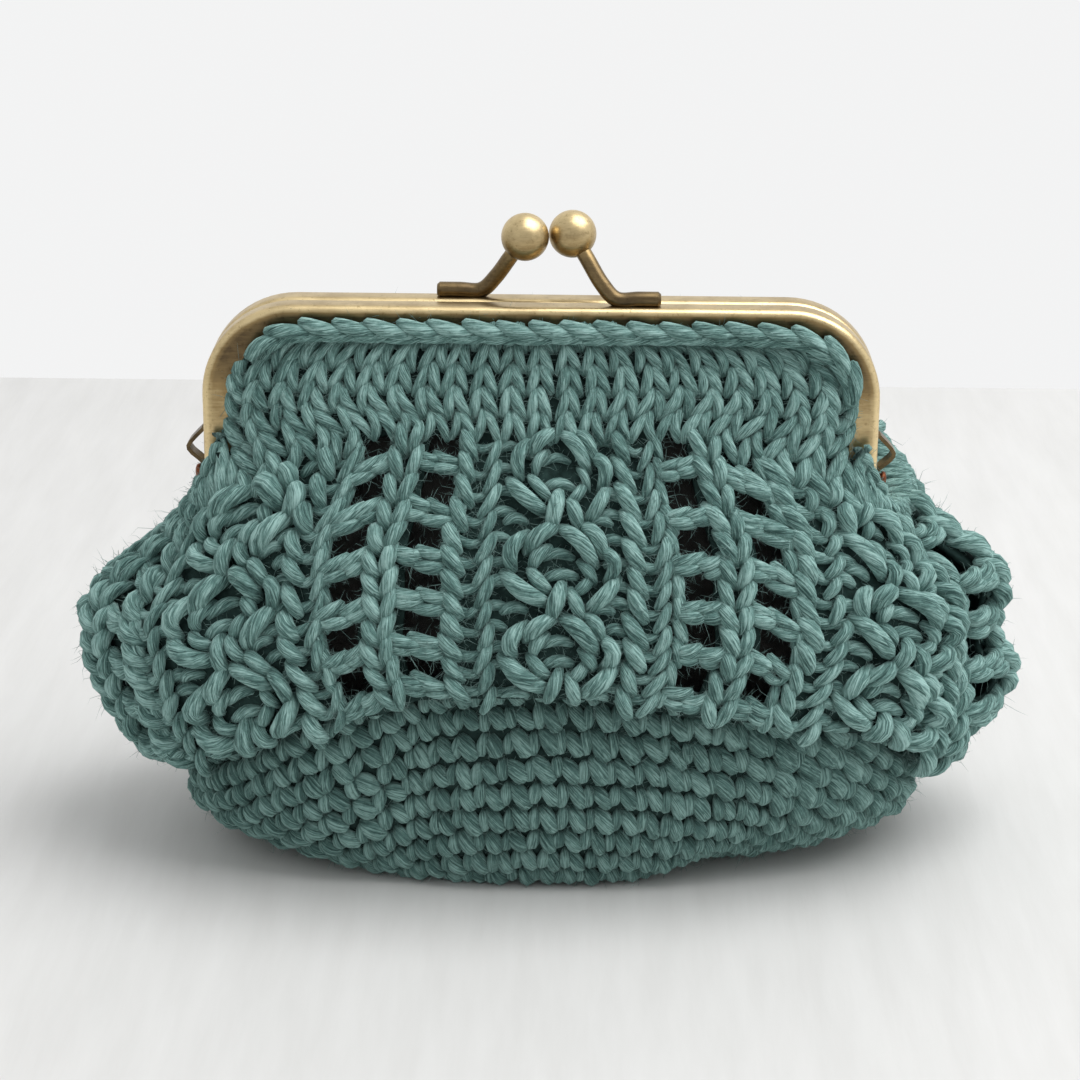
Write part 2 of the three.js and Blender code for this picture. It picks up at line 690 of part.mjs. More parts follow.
// Snap knob: a foot soldered along the top bar, a stalk that leans across, and a ball.
function knobSolid() {
  const middleY = -(CHANNEL_THICKNESS + CLEARANCE) / 2;
  const footZ = FRAME_TOP + STALK_RADIUS - SOLDER_SINK;
  const ball = new THREE.Vector3(BALL_OFFSET.x, BALL_OFFSET.y, FRAME_TOP + BALL_HEIGHT);
  const bend = new THREE.Vector3(STALK_BEND.out, middleY + STALK_BEND.lean, footZ + STALK_BEND.rise);
  const path = new THREE.CatmullRomCurve3(
    [
      new THREE.Vector3(STALK_FOOT.start, middleY, footZ),
      new THREE.Vector3((STALK_FOOT.start + STALK_FOOT.end) / 2, middleY, footZ),
      new THREE.Vector3(STALK_FOOT.end, middleY, footZ),
      bend,
      bend.clone().lerp(ball, 0.5),
      ball,
    ],
    false,
    "centripetal",
  );
  const section = new THREE.Shape();
  section.absarc(0, 0, STALK_RADIUS, 0, 2 * Math.PI, false);
  const stalk = new THREE.ExtrudeGeometry(section, {
    steps: 14,
    curveSegments: 4,
    bevelEnabled: false,
    extrudePath: path,
  });
  const sphere = new THREE.SphereGeometry(BALL_RADIUS, 14, 9).translate(...ball.toArray());
  return solidOf(stalk).add(solidOf(sphere));
}

// One half of the frame: the bent channel, its two hinge ears and its soldered knob.
// The front half's ears lie outside, and the back half's nest inside them.
function makeFrameHalf(front) {
  const middleY = (front * (CHANNEL_THICKNESS + CLEARANCE)) / 2;
  const legOut = FRAME_WIDTH / 2;
  const outside = front < 0;
  const earOut = outside ? legOut : legOut - EAR_SHEET - CLEARANCE;
  const earIn = earOut - EAR_SHEET;
  const ear = {
    low: [earIn, -EAR_REACH, LEG_END],
    high: [earOut, outside ? EAR_REACH : CHANNEL_THICKNESS - 0.1, EAR_TOP],
  };
  const room = {
    low: [legOut - 3.5, outside ? -3.4 : -1, LEG_END - 1],
    high: [outside ? legOut - EAR_SHEET : legOut + 1, outside ? 1 : EAR_REACH + 0.4, EAR_TOP + 0.6],
  };
  const hole = new THREE.CylinderGeometry(RIVET_SHAFT + CLEARANCE, RIVET_SHAFT + CLEARANCE, 8, 14)
    .rotateZ(Math.PI / 2)
    .translate(legOut, 0, HINGE_HEIGHT);
  let half = solidOf(channelSweep(middleY));
  for (const side of [1, -1]) {
    const turn = (geometry) => (side > 0 ? geometry : geometry.clone().rotateZ(Math.PI).scale(1, -1, 1));
    const flip = (geometry) => (side > 0 ? geometry : orientOutwards(turn(geometry)));
    half = half
      .subtract(solidOf(flip(boxBetween(room.low, room.high))))
      .add(solidOf(flip(boxBetween(ear.low, ear.high))))
      .subtract(solidOf(flip(hole)));
  }
  const knob = front < 0 ? knobSolid() : knobSolid().rotate([0, 0, 180]);
  return geometryOf(half.add(knob.translate([CLASP_SHIFT, 0, 0])));
}

function makeRivet(side) {
  const legOut = FRAME_WIDTH / 2;
  const outer = legOut + CLEARANCE + LOOP_SHEET + CLEARANCE;
  const inner = legOut - 2 * EAR_SHEET - 2 * CLEARANCE;
  const profile = [
    [0, inner - RIVET_HEAD_THICKNESS],
    [RIVET_HEAD, inner - RIVET_HEAD_THICKNESS],
    [RIVET_HEAD, inner],
    [RIVET_SHAFT, inner],
    [RIVET_SHAFT, outer],
    [RIVET_HEAD, outer],
    [RIVET_HEAD, outer + RIVET_HEAD_THICKNESS * 0.5],
    [RIVET_HEAD * 0.7, outer + RIVET_HEAD_THICKNESS],
    [0, outer + RIVET_HEAD_THICKNESS],
  ].map(([r, along]) => new THREE.Vector2(r, along));
  return new THREE.LatheGeometry(profile, 10).rotateZ((-side * Math.PI) / 2).translate(0, 0, HINGE_HEIGHT);
}

// Chain loop: a bent strap whose foot the rivet holds and whose other end meets the leg.
function makeChainLoop(side) {
  const inside = FRAME_WIDTH / 2 + CLEARANCE;
  const base = HINGE_HEIGHT - 1.7;
  const knee = base + 0.6 * LOOP_HEIGHT;
  const foot = HINGE_HEIGHT + 1.9;
  const top = base + LOOP_HEIGHT + 1.4;
  const strap = new THREE.Shape(
    [
      [inside, base],
      [inside + LOOP_SHEET, base],
      [inside + LOOP_SHEET, foot],
      [inside + LOOP_REACH + LOOP_SHEET, knee + 0.9],
      [inside + LOOP_SHEET, top + 0.3],
      [inside, top],
      [inside + LOOP_REACH - 0.15, knee + 0.9],
      [inside, foot + 0.5],
    ].map(([x, z]) => new THREE.Vector2(x, z)),
  );
  const solid = new THREE.ExtrudeGeometry(strap, { depth: LOOP_WIDTH, bevelEnabled: false })
    .translate(0, 0, -LOOP_WIDTH / 2)
    .rotateX(Math.PI / 2);
  const hole = new THREE.CylinderGeometry(RIVET_SHAFT + CLEARANCE, RIVET_SHAFT + CLEARANCE, 6, 14)
    .rotateZ(Math.PI / 2)
    .translate(inside, 0, HINGE_HEIGHT);
  const loop = geometryOf(solidOf(solid).subtract(solidOf(hole)));
  return side > 0 ? loop : orientOutwards(loop.scale(-1, 1, 1));
}

// Chain-stitch edging along the front or back bar. It ends at one corner, and at the other it runs on
// down the leg.
const EDGE_CHAIN_PATH = [
  { x: -50.2, out: 9.2, drop: 9 },
  { x: -48.4, out: 9, drop: 6 },
  { x: -44, out: 8.8, drop: 4 },
  { x: -37, out: 8.8, drop: 3.6 },
  { x: 0, out: 8.8, drop: 3.6 },
  { x: 38, out: 8.8, drop: 3.6 },
  { x: 46.5, out: 8.8, drop: 4.4 },
  { x: 52, out: 8.8, drop: 7.4 },
  { x: 54.8, out: 9, drop: 11.6 },
  { x: 55.6, out: 9.2, drop: 15.6 },
];
function makeEdgeChain(front) {
  const path = new THREE.CatmullRomCurve3(
    EDGE_CHAIN_PATH.map(({ x, out, drop }) => new THREE.Vector3(-front * x, front * out, FRAME_TOP - drop)),
    false,
    "centripetal",
  );
  const section = new THREE.Shape();
  section.absarc(0, 0, EDGE_CHAIN_RADIUS, 0, 2 * Math.PI, false);
  return new THREE.ExtrudeGeometry(section, {
    steps: 28,
    curveSegments: 3,
    bevelEnabled: false,
    extrudePath: path,
  });
}

// Assembly

function material(colour, roughness, metalness) {
  return new THREE.MeshStandardMaterial({ color: colour, roughness, metalness });
}

const wool = material(COLOURS.yarn, 0.95, 0);
const crochetWool = material(COLOURS.crochet, 0.95, 0);
const brass = material(COLOURS.metal, 0.38, 1);
const darkCloth = material(COLOURS.lining, 0.9, 0);

function piece(name, geometry, finish) {
  const mesh = new THREE.Mesh(geometry, finish);
  mesh.name = name;
  return mesh;
}

const pouch = new THREE.Group();
pouch.add(
  piece("knit_body", makeKnitBody(), wool),
  piece("crochet_base", makeCrochetBase(), crochetWool),
  piece("lining", makeLining(), darkCloth),
  piece("edge_chain_front", makeEdgeChain(-1), wool),
  piece("edge_chain_back", makeEdgeChain(1), wool),
  piece("frame_half_front", makeFrameHalf(-1), brass),
  piece("frame_half_back", makeFrameHalf(1), brass),
);
for (const [side, name] of [[1, "right"], [-1, "left"]]) {
  pouch.add(
    piece(`hinge_rivet_${name}`, makeRivet(side), brass),
    piece(`chain_loop_${name}`, makeChainLoop(side), brass),
  );
}

export default pouch;
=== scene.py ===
"""Knitted clasp pouch: cable and lace body, crocheted base, dark lining, antique metal frame."""
import math

import bmesh
import bpy
import numpy as np
from mathutils import Matrix, Vector


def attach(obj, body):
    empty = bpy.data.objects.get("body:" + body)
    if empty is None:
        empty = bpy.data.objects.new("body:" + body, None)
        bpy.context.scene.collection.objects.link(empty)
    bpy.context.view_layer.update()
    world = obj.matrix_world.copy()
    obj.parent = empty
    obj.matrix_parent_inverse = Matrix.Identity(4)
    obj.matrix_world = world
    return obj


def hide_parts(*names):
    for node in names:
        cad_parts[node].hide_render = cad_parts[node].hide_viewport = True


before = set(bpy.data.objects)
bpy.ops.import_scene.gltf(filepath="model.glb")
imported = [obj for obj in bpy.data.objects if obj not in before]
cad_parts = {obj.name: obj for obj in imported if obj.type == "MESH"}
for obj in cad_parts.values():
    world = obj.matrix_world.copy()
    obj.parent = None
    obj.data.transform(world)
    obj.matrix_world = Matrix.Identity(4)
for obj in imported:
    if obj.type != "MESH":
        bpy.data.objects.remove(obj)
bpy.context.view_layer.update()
MM = 0.001
BODY = "root"
RNG = np.random.default_rng(23)

# Sizes and levels in millimetres, and the pattern's places in stitches, rows and stations.
FRAME_WIDTH, FRAME_TOP, FRAME_CORNER = 120.0, 100.4, 16.5
CHANNEL_DEPTH, CHANNEL_THICKNESS, CHANNEL_ROUND, SHEET = 5.2, 5.5, 1.3, 0.7
FACE_LINE = 2.0  # a line of points along the channel's faces, for its wear and its painted highlight and shade
CLEARANCE = 0.3
LEG_END, HINGE_HEIGHT = FRAME_TOP - 34.2, FRAME_TOP - 32.2
CLASP_SHIFT = 1.2
BALL_RADIUS, BALL_X, BALL_Y, BALL_HEIGHT = 4.2, 4.15, 1.4, 11.8
STALK_RADIUS, STALK_START, STALK_END, SOLDER_SINK = 1.4, 19.8, 12.0, 0.25
STALK_TIP = 0.7  # the foot's end, as a share of the stalk's radius
STALK_BEND = {"x": 9.3, "inward": 0.7, "rise": 2.7}
EAR = {"thickness": 0.8, "height": 4.6, "half_depth": 2.4, "inset": 1.1, "short": 0.1}
RIVET_RADIUS, RIVET_HEAD, RIVET_OUT, RIVET_IN = 0.95, 1.35, 1.4, 2.2
LOOP_WIDTH, LOOP_THICKNESS, LOOP_GAP = 3.0, 0.7, 0.4
LOOP_PATH = {
    "out": (0.0, 0.0, 0.9, 2.1, 2.8, 2.9, 2.3, 1.2, 0.1),
    "rise": (-1.7, 1.6, 2.5, 3.5, 4.4, 5.2, 6.2, 7.4, 8.5),
}
FABRIC_PLANE = 4.07

STATIONS = 12  # half repeats round the body: even ones are cables, odd ones lace columns
STITCHES = 6  # stitches in a half repeat
ROUND = STATIONS * STITCHES
BAND_ROWS = 12.0
PATTERN_SHIFT = 0.7  # stitches that the band's pattern stands off the frame's middle
LEFT_PULL = {"station": 8.8, "width": 1.3, "stitches": 0.9}  # further, where the left side is pulled round
FLAP_ROWS = 4.0
FLAP_ROW_HEIGHT = 3.55
FLAP_TOP = FRAME_TOP - 5.4
FLAP_MOUTH, FLAP_EDGE = 1.87, 2.0  # stations
FLAP_STITCH = 1.05  # stitches of the band to one of the flap
FLAP_INSET, FLAP_ROUNDNESS, FLAP_BLEND_ROWS = 0.9, 2.5, 1.6
FLAP_SWELL = {"high": 95, "low": 86, "out": 2.6}
FLAP_SPREAD = {"high": 79, "low": 67, "out": 2.0, "across": 3.4}
BELLY_SQUARENESS, NECK_SQUARENESS, NECK_LEVELS = 2.15, 2.6, (52, 66)
HEM_DRAW, HEM_DRAW_LEVELS = 0.79, (34, 52)
HINGE_GATHER, HINGE_LEVELS = 0.8, (50, 66)
FOLD_FADE_LOW, FOLD_FADE_HIGH = 10, 8
LACE_HOLE = {"near": 0.7, "far": 2.1, "tall": 1.25, "pitch": 2, "raised": 0.3, "off_hem": 0.6}
CLOSED_LACE = ((18.5, 24), (48, 55.4))  # stitches between which the ground has no holes
SEAM_STITCH = -9  # where the round of ground is closed
GROUND_DEPTH, GROUND_THICKNESS, SHOULDER_GAP = 2.0, 1.2, 0.6
STITCH_WIDTH = 5.2
YARN_FLOOR, FIBRE_FLOOR = 0.02, 0.05

BODY_LEVELS = {
    "z": (100.4, 92.4, 84.4, 76.4, 68.4, 64, 59.6, 55, 50.5, 45.5, 38, 31, 25, 19, 13, 7),
    "half_width": (57, 57.5, 58, 58.5, 60.5, 63.5, 68.5, 75, 80, 82.8, 84, 82, 78.5, 73.5, 67.5, 62),
    "half_depth": (5, 8, 12.5, 17.5, 24, 27, 29.6, 31.6, 33.8, 35.6, 37.4, 38.4, 38.4, 37.5, 36, 34),
}
BAND_EDGES = {
    "station": (0, 0.75, 1, 1.3, 1.62, 2, 2.5, 3),
    "top": (80.9, 80.7, 80.4, 78.4, 74.4, 67.8, 64.7, 64.2),
    "bottom": (39.4, 38.4, 35.4, 34, 29.5, 23.5, 18.5, 17),
}
HEM_SHIFTS = (
    {"station": 2.1, "width": 0.5, "height": 6.5},
    {"station": 3.4, "width": 0.5, "height": -9.0},
    {"station": 8.9, "width": 0.5, "height": -2.0},
)
SIDE_FOLDS = (
    {"station": 2.72, "depth": 5.5, "width": 0.22, "top": 64, "bottom": 20},
    {"station": 3.6, "depth": -5.5, "width": 0.8, "top": 78, "bottom": 40},
    {"station": 3.3, "depth": -8.0, "width": 0.7, "top": 37, "bottom": -4},
    {"station": 9.0, "depth": 4.0, "width": 0.9, "top": 66, "bottom": 44},
    {"station": 9.4, "depth": 2.5, "width": 0.2, "top": 62, "bottom": 20},
    {"station": 8.4, "depth": 2.5, "width": 0.2, "top": 62, "bottom": 20},
)
SHOULDER = {"station": 4.0, "width": 0.5, "reach": 7.0, "low": 54, "middle": 69, "high": 82}
SLIT_ROWS = 1.3  # rows from the band's top to the slit's edge under a hinge
SLIT_EDGE = {
    "station": (2, 2.25, 2.5, 2.75, 3),
    "x": (56.2, 59.2, 61.0, 61.2, 60.8),
    "depth": (8.0, 7.6, 6.6, 3.6, 0),
    "z": (76, 71, 67.5, 65.4, 64.9),
}
BASE_RINGS = {
    "height": (1.0, 0.74, 0.56, 0.35, 0.17, 0.05, 0.0),
    "front": (1.0, 1.0, 1.03, 1.02, 0.97, 0.9, 0.82),
    "side": (1.0, 1.0, 1.005, 0.965, 0.85, 0.69, 0.52),
}
BASE_SHIFT = -2.5
BASE_INSET_FRONT, BASE_INSET_SIDE, BASE_RIM_LAP = 4.6, 6.4, 2.0
BASE_LIFT = {"station": 1.5, "width": 0.35, "height": 2.6}
BASE_DENT = {"station": 11.15, "width": 0.3, "depth": 3.2, "height": 0.5, "spread": 0.35}
ROUND_DIP = {
    "station": (0, 1, 2, 3, 4, 5, 6, 7, 8, 9, 9.6, 10.2, 10.7, 11.1, 11.5, 12),
    "rounds": (0, 0, -0.1, -0.4, -0.2, 0, 0, -0.2, -1.0, -2.1, -2.2, -2.1, -1.8, -1.1, -0.35, 0),
}
BASE_GROUND_DEPTH = 1.7
UNDER_RADIUS = 30.0  # from the flat bottom's edge to its middle, along the rounds
LINING_TOP, LINING_BOTTOM, LINING_UNDER = 94.4, 5.6, 7.6
LINING_SQUARENESS, LINING_THICKNESS, LINING_CLEAR = 2.3, 0.5, 0.1
LINING_LEVELS = {
    "z": (94.4, 90.4, 84.4, 74.4, 66.4, 55, 43, 30, 18, 10, 5.6),
    "half_width": (45, 52.4, 53.4, 53.6, 55, 63, 69, 67.5, 59, 49, 37),
    "half_depth": (2.7, 3.1, 6.6, 13.2, 18.6, 24.6, 27, 26.4, 25.4, 22, 17),
}
EDGE_CHAIN = {
    "x": (-50.2, -48.4, -44, -37, 0, 38, 46.5, 52, 54.8, 55.6),
    "out": (8.4, 8.3, 8.2, 8.2, 8.2, 8.2, 8.2, 8.2, 8.3, 8.4),
    "drop": (9, 6, 4, 3.6, 3.6, 3.6, 4.4, 7.4, 11.6, 15.6),
}
CHAIN_LINK, CHAIN_STRETCH, CHAIN_LAP = 5.6, 1.35, 0.18
CHAIN_STRANDS = (
    {"offset": 0.0, "swing": (1.35, -2.4), "lift": (-0.6, 0.9), "radius": 1.4},
    {"offset": 0.5, "swing": (-1.45, 0.35), "lift": (-0.9, 0.5), "radius": 1.2},
)


# Small maths.
def smoothstep(low, high, value):
    t = np.clip((value - low) / (high - low), 0, 1)
    return t * t * (3 - 2 * t)


def curve_through(xs, ys):
    """A smooth curve through a short table, as a function."""
    xs, ys = np.array(xs, float), np.array(ys, float)
    order = np.argsort(xs)
    xs, ys = xs[order], ys[order]
    slopes = np.gradient(ys, xs)
    slopes[1:-1] = (ys[2:] - ys[:-2]) / (xs[2:] - xs[:-2])

    def at(x):
        x = np.clip(x, xs[0], xs[-1])
        i = np.clip(np.searchsorted(xs, x) - 1, 0, len(xs) - 2)
        span = xs[i + 1] - xs[i]
        t = (x - xs[i]) / span
        rise = (2 * t**3 - 3 * t**2 + 1) * ys[i] + (-2 * t**3 + 3 * t**2) * ys[i + 1]
        lean = (t**3 - 2 * t**2 + t) * slopes[i] + (t**3 - t**2) * slopes[i + 1]
        return rise + span * lean

    return at


def unit(v):
    return v / np.maximum(np.linalg.norm(v, axis=-1, keepdims=True), 1e-9)


def run_along(points):
    """How far along a line of points each of them lies."""
    steps = np.linalg.norm(np.diff(points, axis=-2), axis=-1)
    return np.concatenate([np.zeros_like(steps[..., :1]), np.cumsum(steps, axis=-1)], axis=-1)


def points_along(points, run, at):
    """The places that lie so far along a line of points."""
    return np.stack([np.interp(at, run, points[:, k]) for k in range(3)], axis=-1)


def smooth_line(knots, count):
    """Points along a smooth line through a few knots."""
    steps = np.arange(len(knots))
    fine = np.linspace(0, steps[-1], count)
    return np.stack([curve_through(steps, knots[:, k])(fine) for k in range(3)], axis=-1)


def station_gap(a, b):
    gap = np.abs(a - b) % STATIONS
    return np.minimum(gap, STATIONS - gap)


def bell(station, shape):
    """1 at the shape's own station, falling off over its width."""
    return np.exp(-((station_gap(station, shape["station"]) / shape["width"]) ** 2))


def quarter_of(station):
    """A station's share of its quarter, 0 at the middle and 1 at the side, and its signs."""
    s = np.mod(station, STATIONS)
    part = np.minimum(np.floor(s / 3).astype(int), 3)
    share = s / 3 - part
    share = np.where(part % 2 == 0, share, 1 - share)
    right = np.where(part < 2, 1.0, -1.0)
    front = np.where((part == 0) | (part == 3), -1.0, 1.0)
    return share, right, front


# The knitted body's surface.
half_width = curve_through(BODY_LEVELS["z"], BODY_LEVELS["half_width"])
half_depth = curve_through(BODY_LEVELS["z"], BODY_LEVELS["half_depth"])
band_top = curve_through(BAND_EDGES["station"], BAND_EDGES["top"])
hem_level = curve_through(BAND_EDGES["station"], BAND_EDGES["bottom"])


def band_bottom(station):
    """The hem's level: alike in every quarter, but for one stretch caught up and two that hang."""
    share, _, _ = quarter_of(station)
    level = hem_level(share * 3)
    for shift in HEM_SHIFTS:
        level = level + shift["height"] * bell(station, shift)
    return level


def crowd(share, slope):
    return slope * share + (1 - slope) * share**3


def gathered_share(share, z):
    """Columns gather at the hinge, and low down draw together towards the middle."""
    flap = FLAP_EDGE / 3
    drawing = 1 - smoothstep(*HEM_DRAW_LEVELS, z)
    drawn = crowd(share, 1 + (HEM_DRAW - 1) * drawing)
    beyond = HINGE_GATHER + (1 - HINGE_GATHER) * (share - flap) / (1 - flap)
    held = np.where(share < flap, HINGE_GATHER * share / flap, beyond)
    return drawn + (held - drawn) * smoothstep(*HINGE_LEVELS, z)


LOOK_Z = np.linspace(7, 101, 189)
LOOK_SHARE = np.linspace(0, 1, 121)


def section_lookup():
    """Half width and depth of every column at every level, spaced along the section as they gather."""
    angle = np.linspace(0, math.pi / 2, 241)
    xs = np.empty((len(LOOK_Z), len(LOOK_SHARE)))
    depths = np.empty_like(xs)
    for k, z in enumerate(LOOK_Z):
        squareness = BELLY_SQUARENESS + (NECK_SQUARENESS - BELLY_SQUARENESS) * smoothstep(*NECK_LEVELS, z)
        x = half_width(z) * np.sin(angle) ** (2 / squareness)
        depth = half_depth(z) * np.clip(np.cos(angle), 0, 1) ** (2 / squareness)
        run = run_along(np.stack([x, depth], axis=-1))
        want = gathered_share(LOOK_SHARE, z) * run[-1]
        xs[k], depths[k] = np.interp(want, run, x), np.interp(want, run, depth)
    return xs, depths


SECTION_X, SECTION_DEPTH = section_lookup()


def look_up(grid, rows, columns, at_row, at_column):
    """A grid read between its lines."""
    fr = np.clip((at_row - rows[0]) / (rows[1] - rows[0]), 0, len(rows) - 1.001)
    fc = np.clip((at_column - columns[0]) / (columns[1] - columns[0]), 0, len(columns) - 1.001)
    r, c = fr.astype(int), fc.astype(int)
    tr, tc = fr - r, fc - c
    if grid.ndim == 3:
        tr, tc = tr[..., None], tc[..., None]
    upper = grid[r, c] * (1 - tc) + grid[r, c + 1] * tc
    lower = grid[r + 1, c] * (1 - tc) + grid[r + 1, c + 1] * tc
    return upper * (1 - tr) + lower * tr


def frame_half_width(z, depth):
    radius = FRAME_CORNER - depth
    rise = np.maximum(z - (FRAME_TOP - FRAME_CORNER), 0)
    return FRAME_WIDTH / 2 - FRAME_CORNER + np.sqrt(np.maximum(radius**2 - rise**2, 0))


def fold_depth(station, z):
    total = 0
    for fold in SIDE_FOLDS:
        low = smoothstep(fold["bottom"], fold["bottom"] + FOLD_FADE_LOW, z)
        high = 1 - smoothstep(fold["top"] - FOLD_FADE_HIGH, fold["top"], z)
        total = total + fold["depth"] * bell(station, fold) * low * high
    return total


def wall(u, v):
    """The band and the flaps: a place for each stitch and row."""
    station = u / STITCHES
    share, right, front = quarter_of(station)
    column = share * 3
    top, bottom = band_top(column), band_bottom(station)
    in_band = top + (bottom - top) * v / BAND_ROWS
    z = np.where(v >= 0, in_band, top + (FLAP_TOP - top) * (-v / FLAP_ROWS))
    x = look_up(SECTION_X, LOOK_Z, LOOK_SHARE, z, share)
    depth = look_up(SECTION_DEPTH, LOOK_Z, LOOK_SHARE, z, share)
    reach = np.clip(column / FLAP_MOUTH, 0, 1)
    over = smoothstep(-FLAP_SPREAD["high"], -FLAP_SPREAD["low"], -z)
    flap_x = frame_half_width(z, CHANNEL_DEPTH) - FLAP_INSET + FLAP_SPREAD["across"] * over
    flap_x = flap_x * column / FLAP_MOUTH
    edge = FABRIC_PLANE + FLAP_SWELL["out"] * smoothstep(-FLAP_SWELL["high"], -FLAP_SWELL["low"], -z)
    edge = edge + FLAP_SPREAD["out"] * over
    flap_depth = edge + (half_depth(z) - edge) * (1 - reach**FLAP_ROUNDNESS) ** (1 / FLAP_ROUNDNESS)
    up = smoothstep(0, FLAP_BLEND_ROWS, -v)
    x, depth = x + (flap_x - x) * up, depth + (flap_depth - depth) * up
    swell = bell(station, SHOULDER) * smoothstep(SHOULDER["low"], SHOULDER["middle"], z)
    x = x + SHOULDER["reach"] * swell * (1 - smoothstep(SHOULDER["middle"], SHOULDER["high"], z))
    fold = fold_depth(station, z)
    nx, nd = x / half_width(z) ** 2, depth / half_depth(z) ** 2
    size = np.maximum(np.hypot(nx, nd), 1e-9)
    return np.stack([right * (x - fold * nx / size), front * (depth - fold * nd / size), z], axis=-1)


slit_x, slit_depth, slit_z = (
    curve_through(SLIT_EDGE["station"], SLIT_EDGE[key]) for key in ("x", "depth", "z")
)


def fabric(u, v):
    """The fabric's face at a stitch and a row.

    Stitches count from the front's middle to the right, and rows from the band's top down.
    """
    u, v = np.broadcast_arrays(np.asarray(u, float), np.asarray(v, float))
    share, right, front = quarter_of(u / STITCHES)
    column = share * 3
    edge = wall(u, np.maximum(v, 0))
    slit = np.stack([right * slit_x(column), front * slit_depth(column), slit_z(column)], axis=-1)
    drawn_in = edge + (slit - edge) * (-v / SLIT_ROWS)[..., None]
    under_hinge = (column > FLAP_EDGE) & (v < 0)
    return np.where(under_hinge[..., None], drawn_in, wall(u, v))


def fabric_frame(u, v):
    """A place on the fabric, the way out of it, and how wide a stitch is there."""
    step = 0.06
    place = fabric(u, v)
    across = fabric(u + step, v) - fabric(u - step, v)
    down = fabric(u, v + step) - fabric(u, v - step)
    return place, unit(np.cross(down, across)), np.linalg.norm(across, axis=-1) / (2 * step)


# The crocheted base's surface.
BASE_STATIONS = np.linspace(0, STATIONS, 241)
BASE_ROW = 4.8  # height of one crocheted round
CROCHET_STITCHES = 71
BASE_RUN = np.linspace(-34, 74, 217)  # along the wall from the flat bottom's edge, up


def base_lookup():
    share, _, _ = quarter_of(BASE_STATIONS)
    inset = BASE_INSET_FRONT + (BASE_INSET_SIDE - BASE_INSET_FRONT) * share**2
    u = BASE_STATIONS * STITCHES
    place, out, _ = fabric_frame(u, np.full_like(u, BAND_ROWS))
    level = unit(out * np.array([1, 1, 0]))
    rim = place - level * inset[:, None]
    front_reach = curve_through(BASE_RINGS["height"], BASE_RINGS["front"])
    side_reach = curve_through(BASE_RINGS["height"], BASE_RINGS["side"])
    heights = np.linspace(0, 1, 81)
    table = np.empty((len(BASE_STATIONS), len(BASE_RUN), 3))
    rim_run = np.empty(len(BASE_STATIONS))
    for i, station in enumerate(BASE_STATIONS):
        dent = BASE_DENT["depth"] * bell(station, BASE_DENT)
        dent = dent * np.exp(-(((heights - BASE_DENT["height"]) / BASE_DENT["spread"]) ** 2))
        length = np.hypot(rim[i, 0], rim[i, 1])
        sideways = smoothstep(0.15, 0.85, share[i])
        reach = front_reach(heights) * (1 - sideways) + side_reach(heights) * sideways
        reach = reach - dent * smoothstep(0, 0.1, heights) / length
        low = (1 - heights) ** 2
        x = rim[i, 0] * reach + BASE_SHIFT * low
        z = heights * (band_bottom(station) + BASE_RIM_LAP)
        z = z + BASE_LIFT["height"] * bell(station, BASE_LIFT) * low
        side = np.stack([x, rim[i, 1] * reach, z], axis=-1)
        run = run_along(side)
        rim_run[i] = run[-1]
        table[i] = points_along(side, run, np.clip(BASE_RUN, 0, run[-1]))
        under = np.clip(1 + BASE_RUN / UNDER_RADIUS, 0, 1)[:, None]
        table[i] *= np.where(BASE_RUN[:, None] < 0, under, 1)
    return table, rim_run


BASE_TABLE, BASE_RIM = base_lookup()


def base_place(station, run):
    station = np.mod(station, STATIONS)
    return look_up(BASE_TABLE, BASE_STATIONS, BASE_RUN, np.asarray(station, float), np.asarray(run, float))


def base_frame(u, v):
    """The base's face at a stitch round it and a round up from the flat bottom's edge."""
    step, climb = 0.05, 0.6
    station, run = u / CROCHET_STITCHES * STATIONS, v * BASE_ROW
    place = base_place(station, run)
    across = base_place(station + step, run) - base_place(station - step, run)
    down = base_place(station, run - climb) - base_place(station, run + climb)
    width = np.linalg.norm(across, axis=-1) / (2 * step) * STATIONS / CROCHET_STITCHES
    return place, unit(np.cross(down, across)), width


round_dip = curve_through(ROUND_DIP["station"], ROUND_DIP["rounds"])


def crochet_station(u):
    return np.mod(u / CROCHET_STITCHES * STATIONS, STATIONS)


def dipping_frame(u, v):
    """The base's face along its rounds, which dip to the sides and step down at a fold in front."""
    return base_frame(u, v + round_dip(crochet_station(u)))


# Materials.
def material(name):
    made = bpy.data.materials.new(name)
    made.use_nodes = True
    nodes = made.node_tree.nodes
    nodes.clear()
    out = nodes.new("ShaderNodeOutputMaterial")
    shader = nodes.new("ShaderNodeBsdfPrincipled")
    made.node_tree.links.new(shader.outputs["BSDF"], out.inputs["Surface"])
    return made, shader


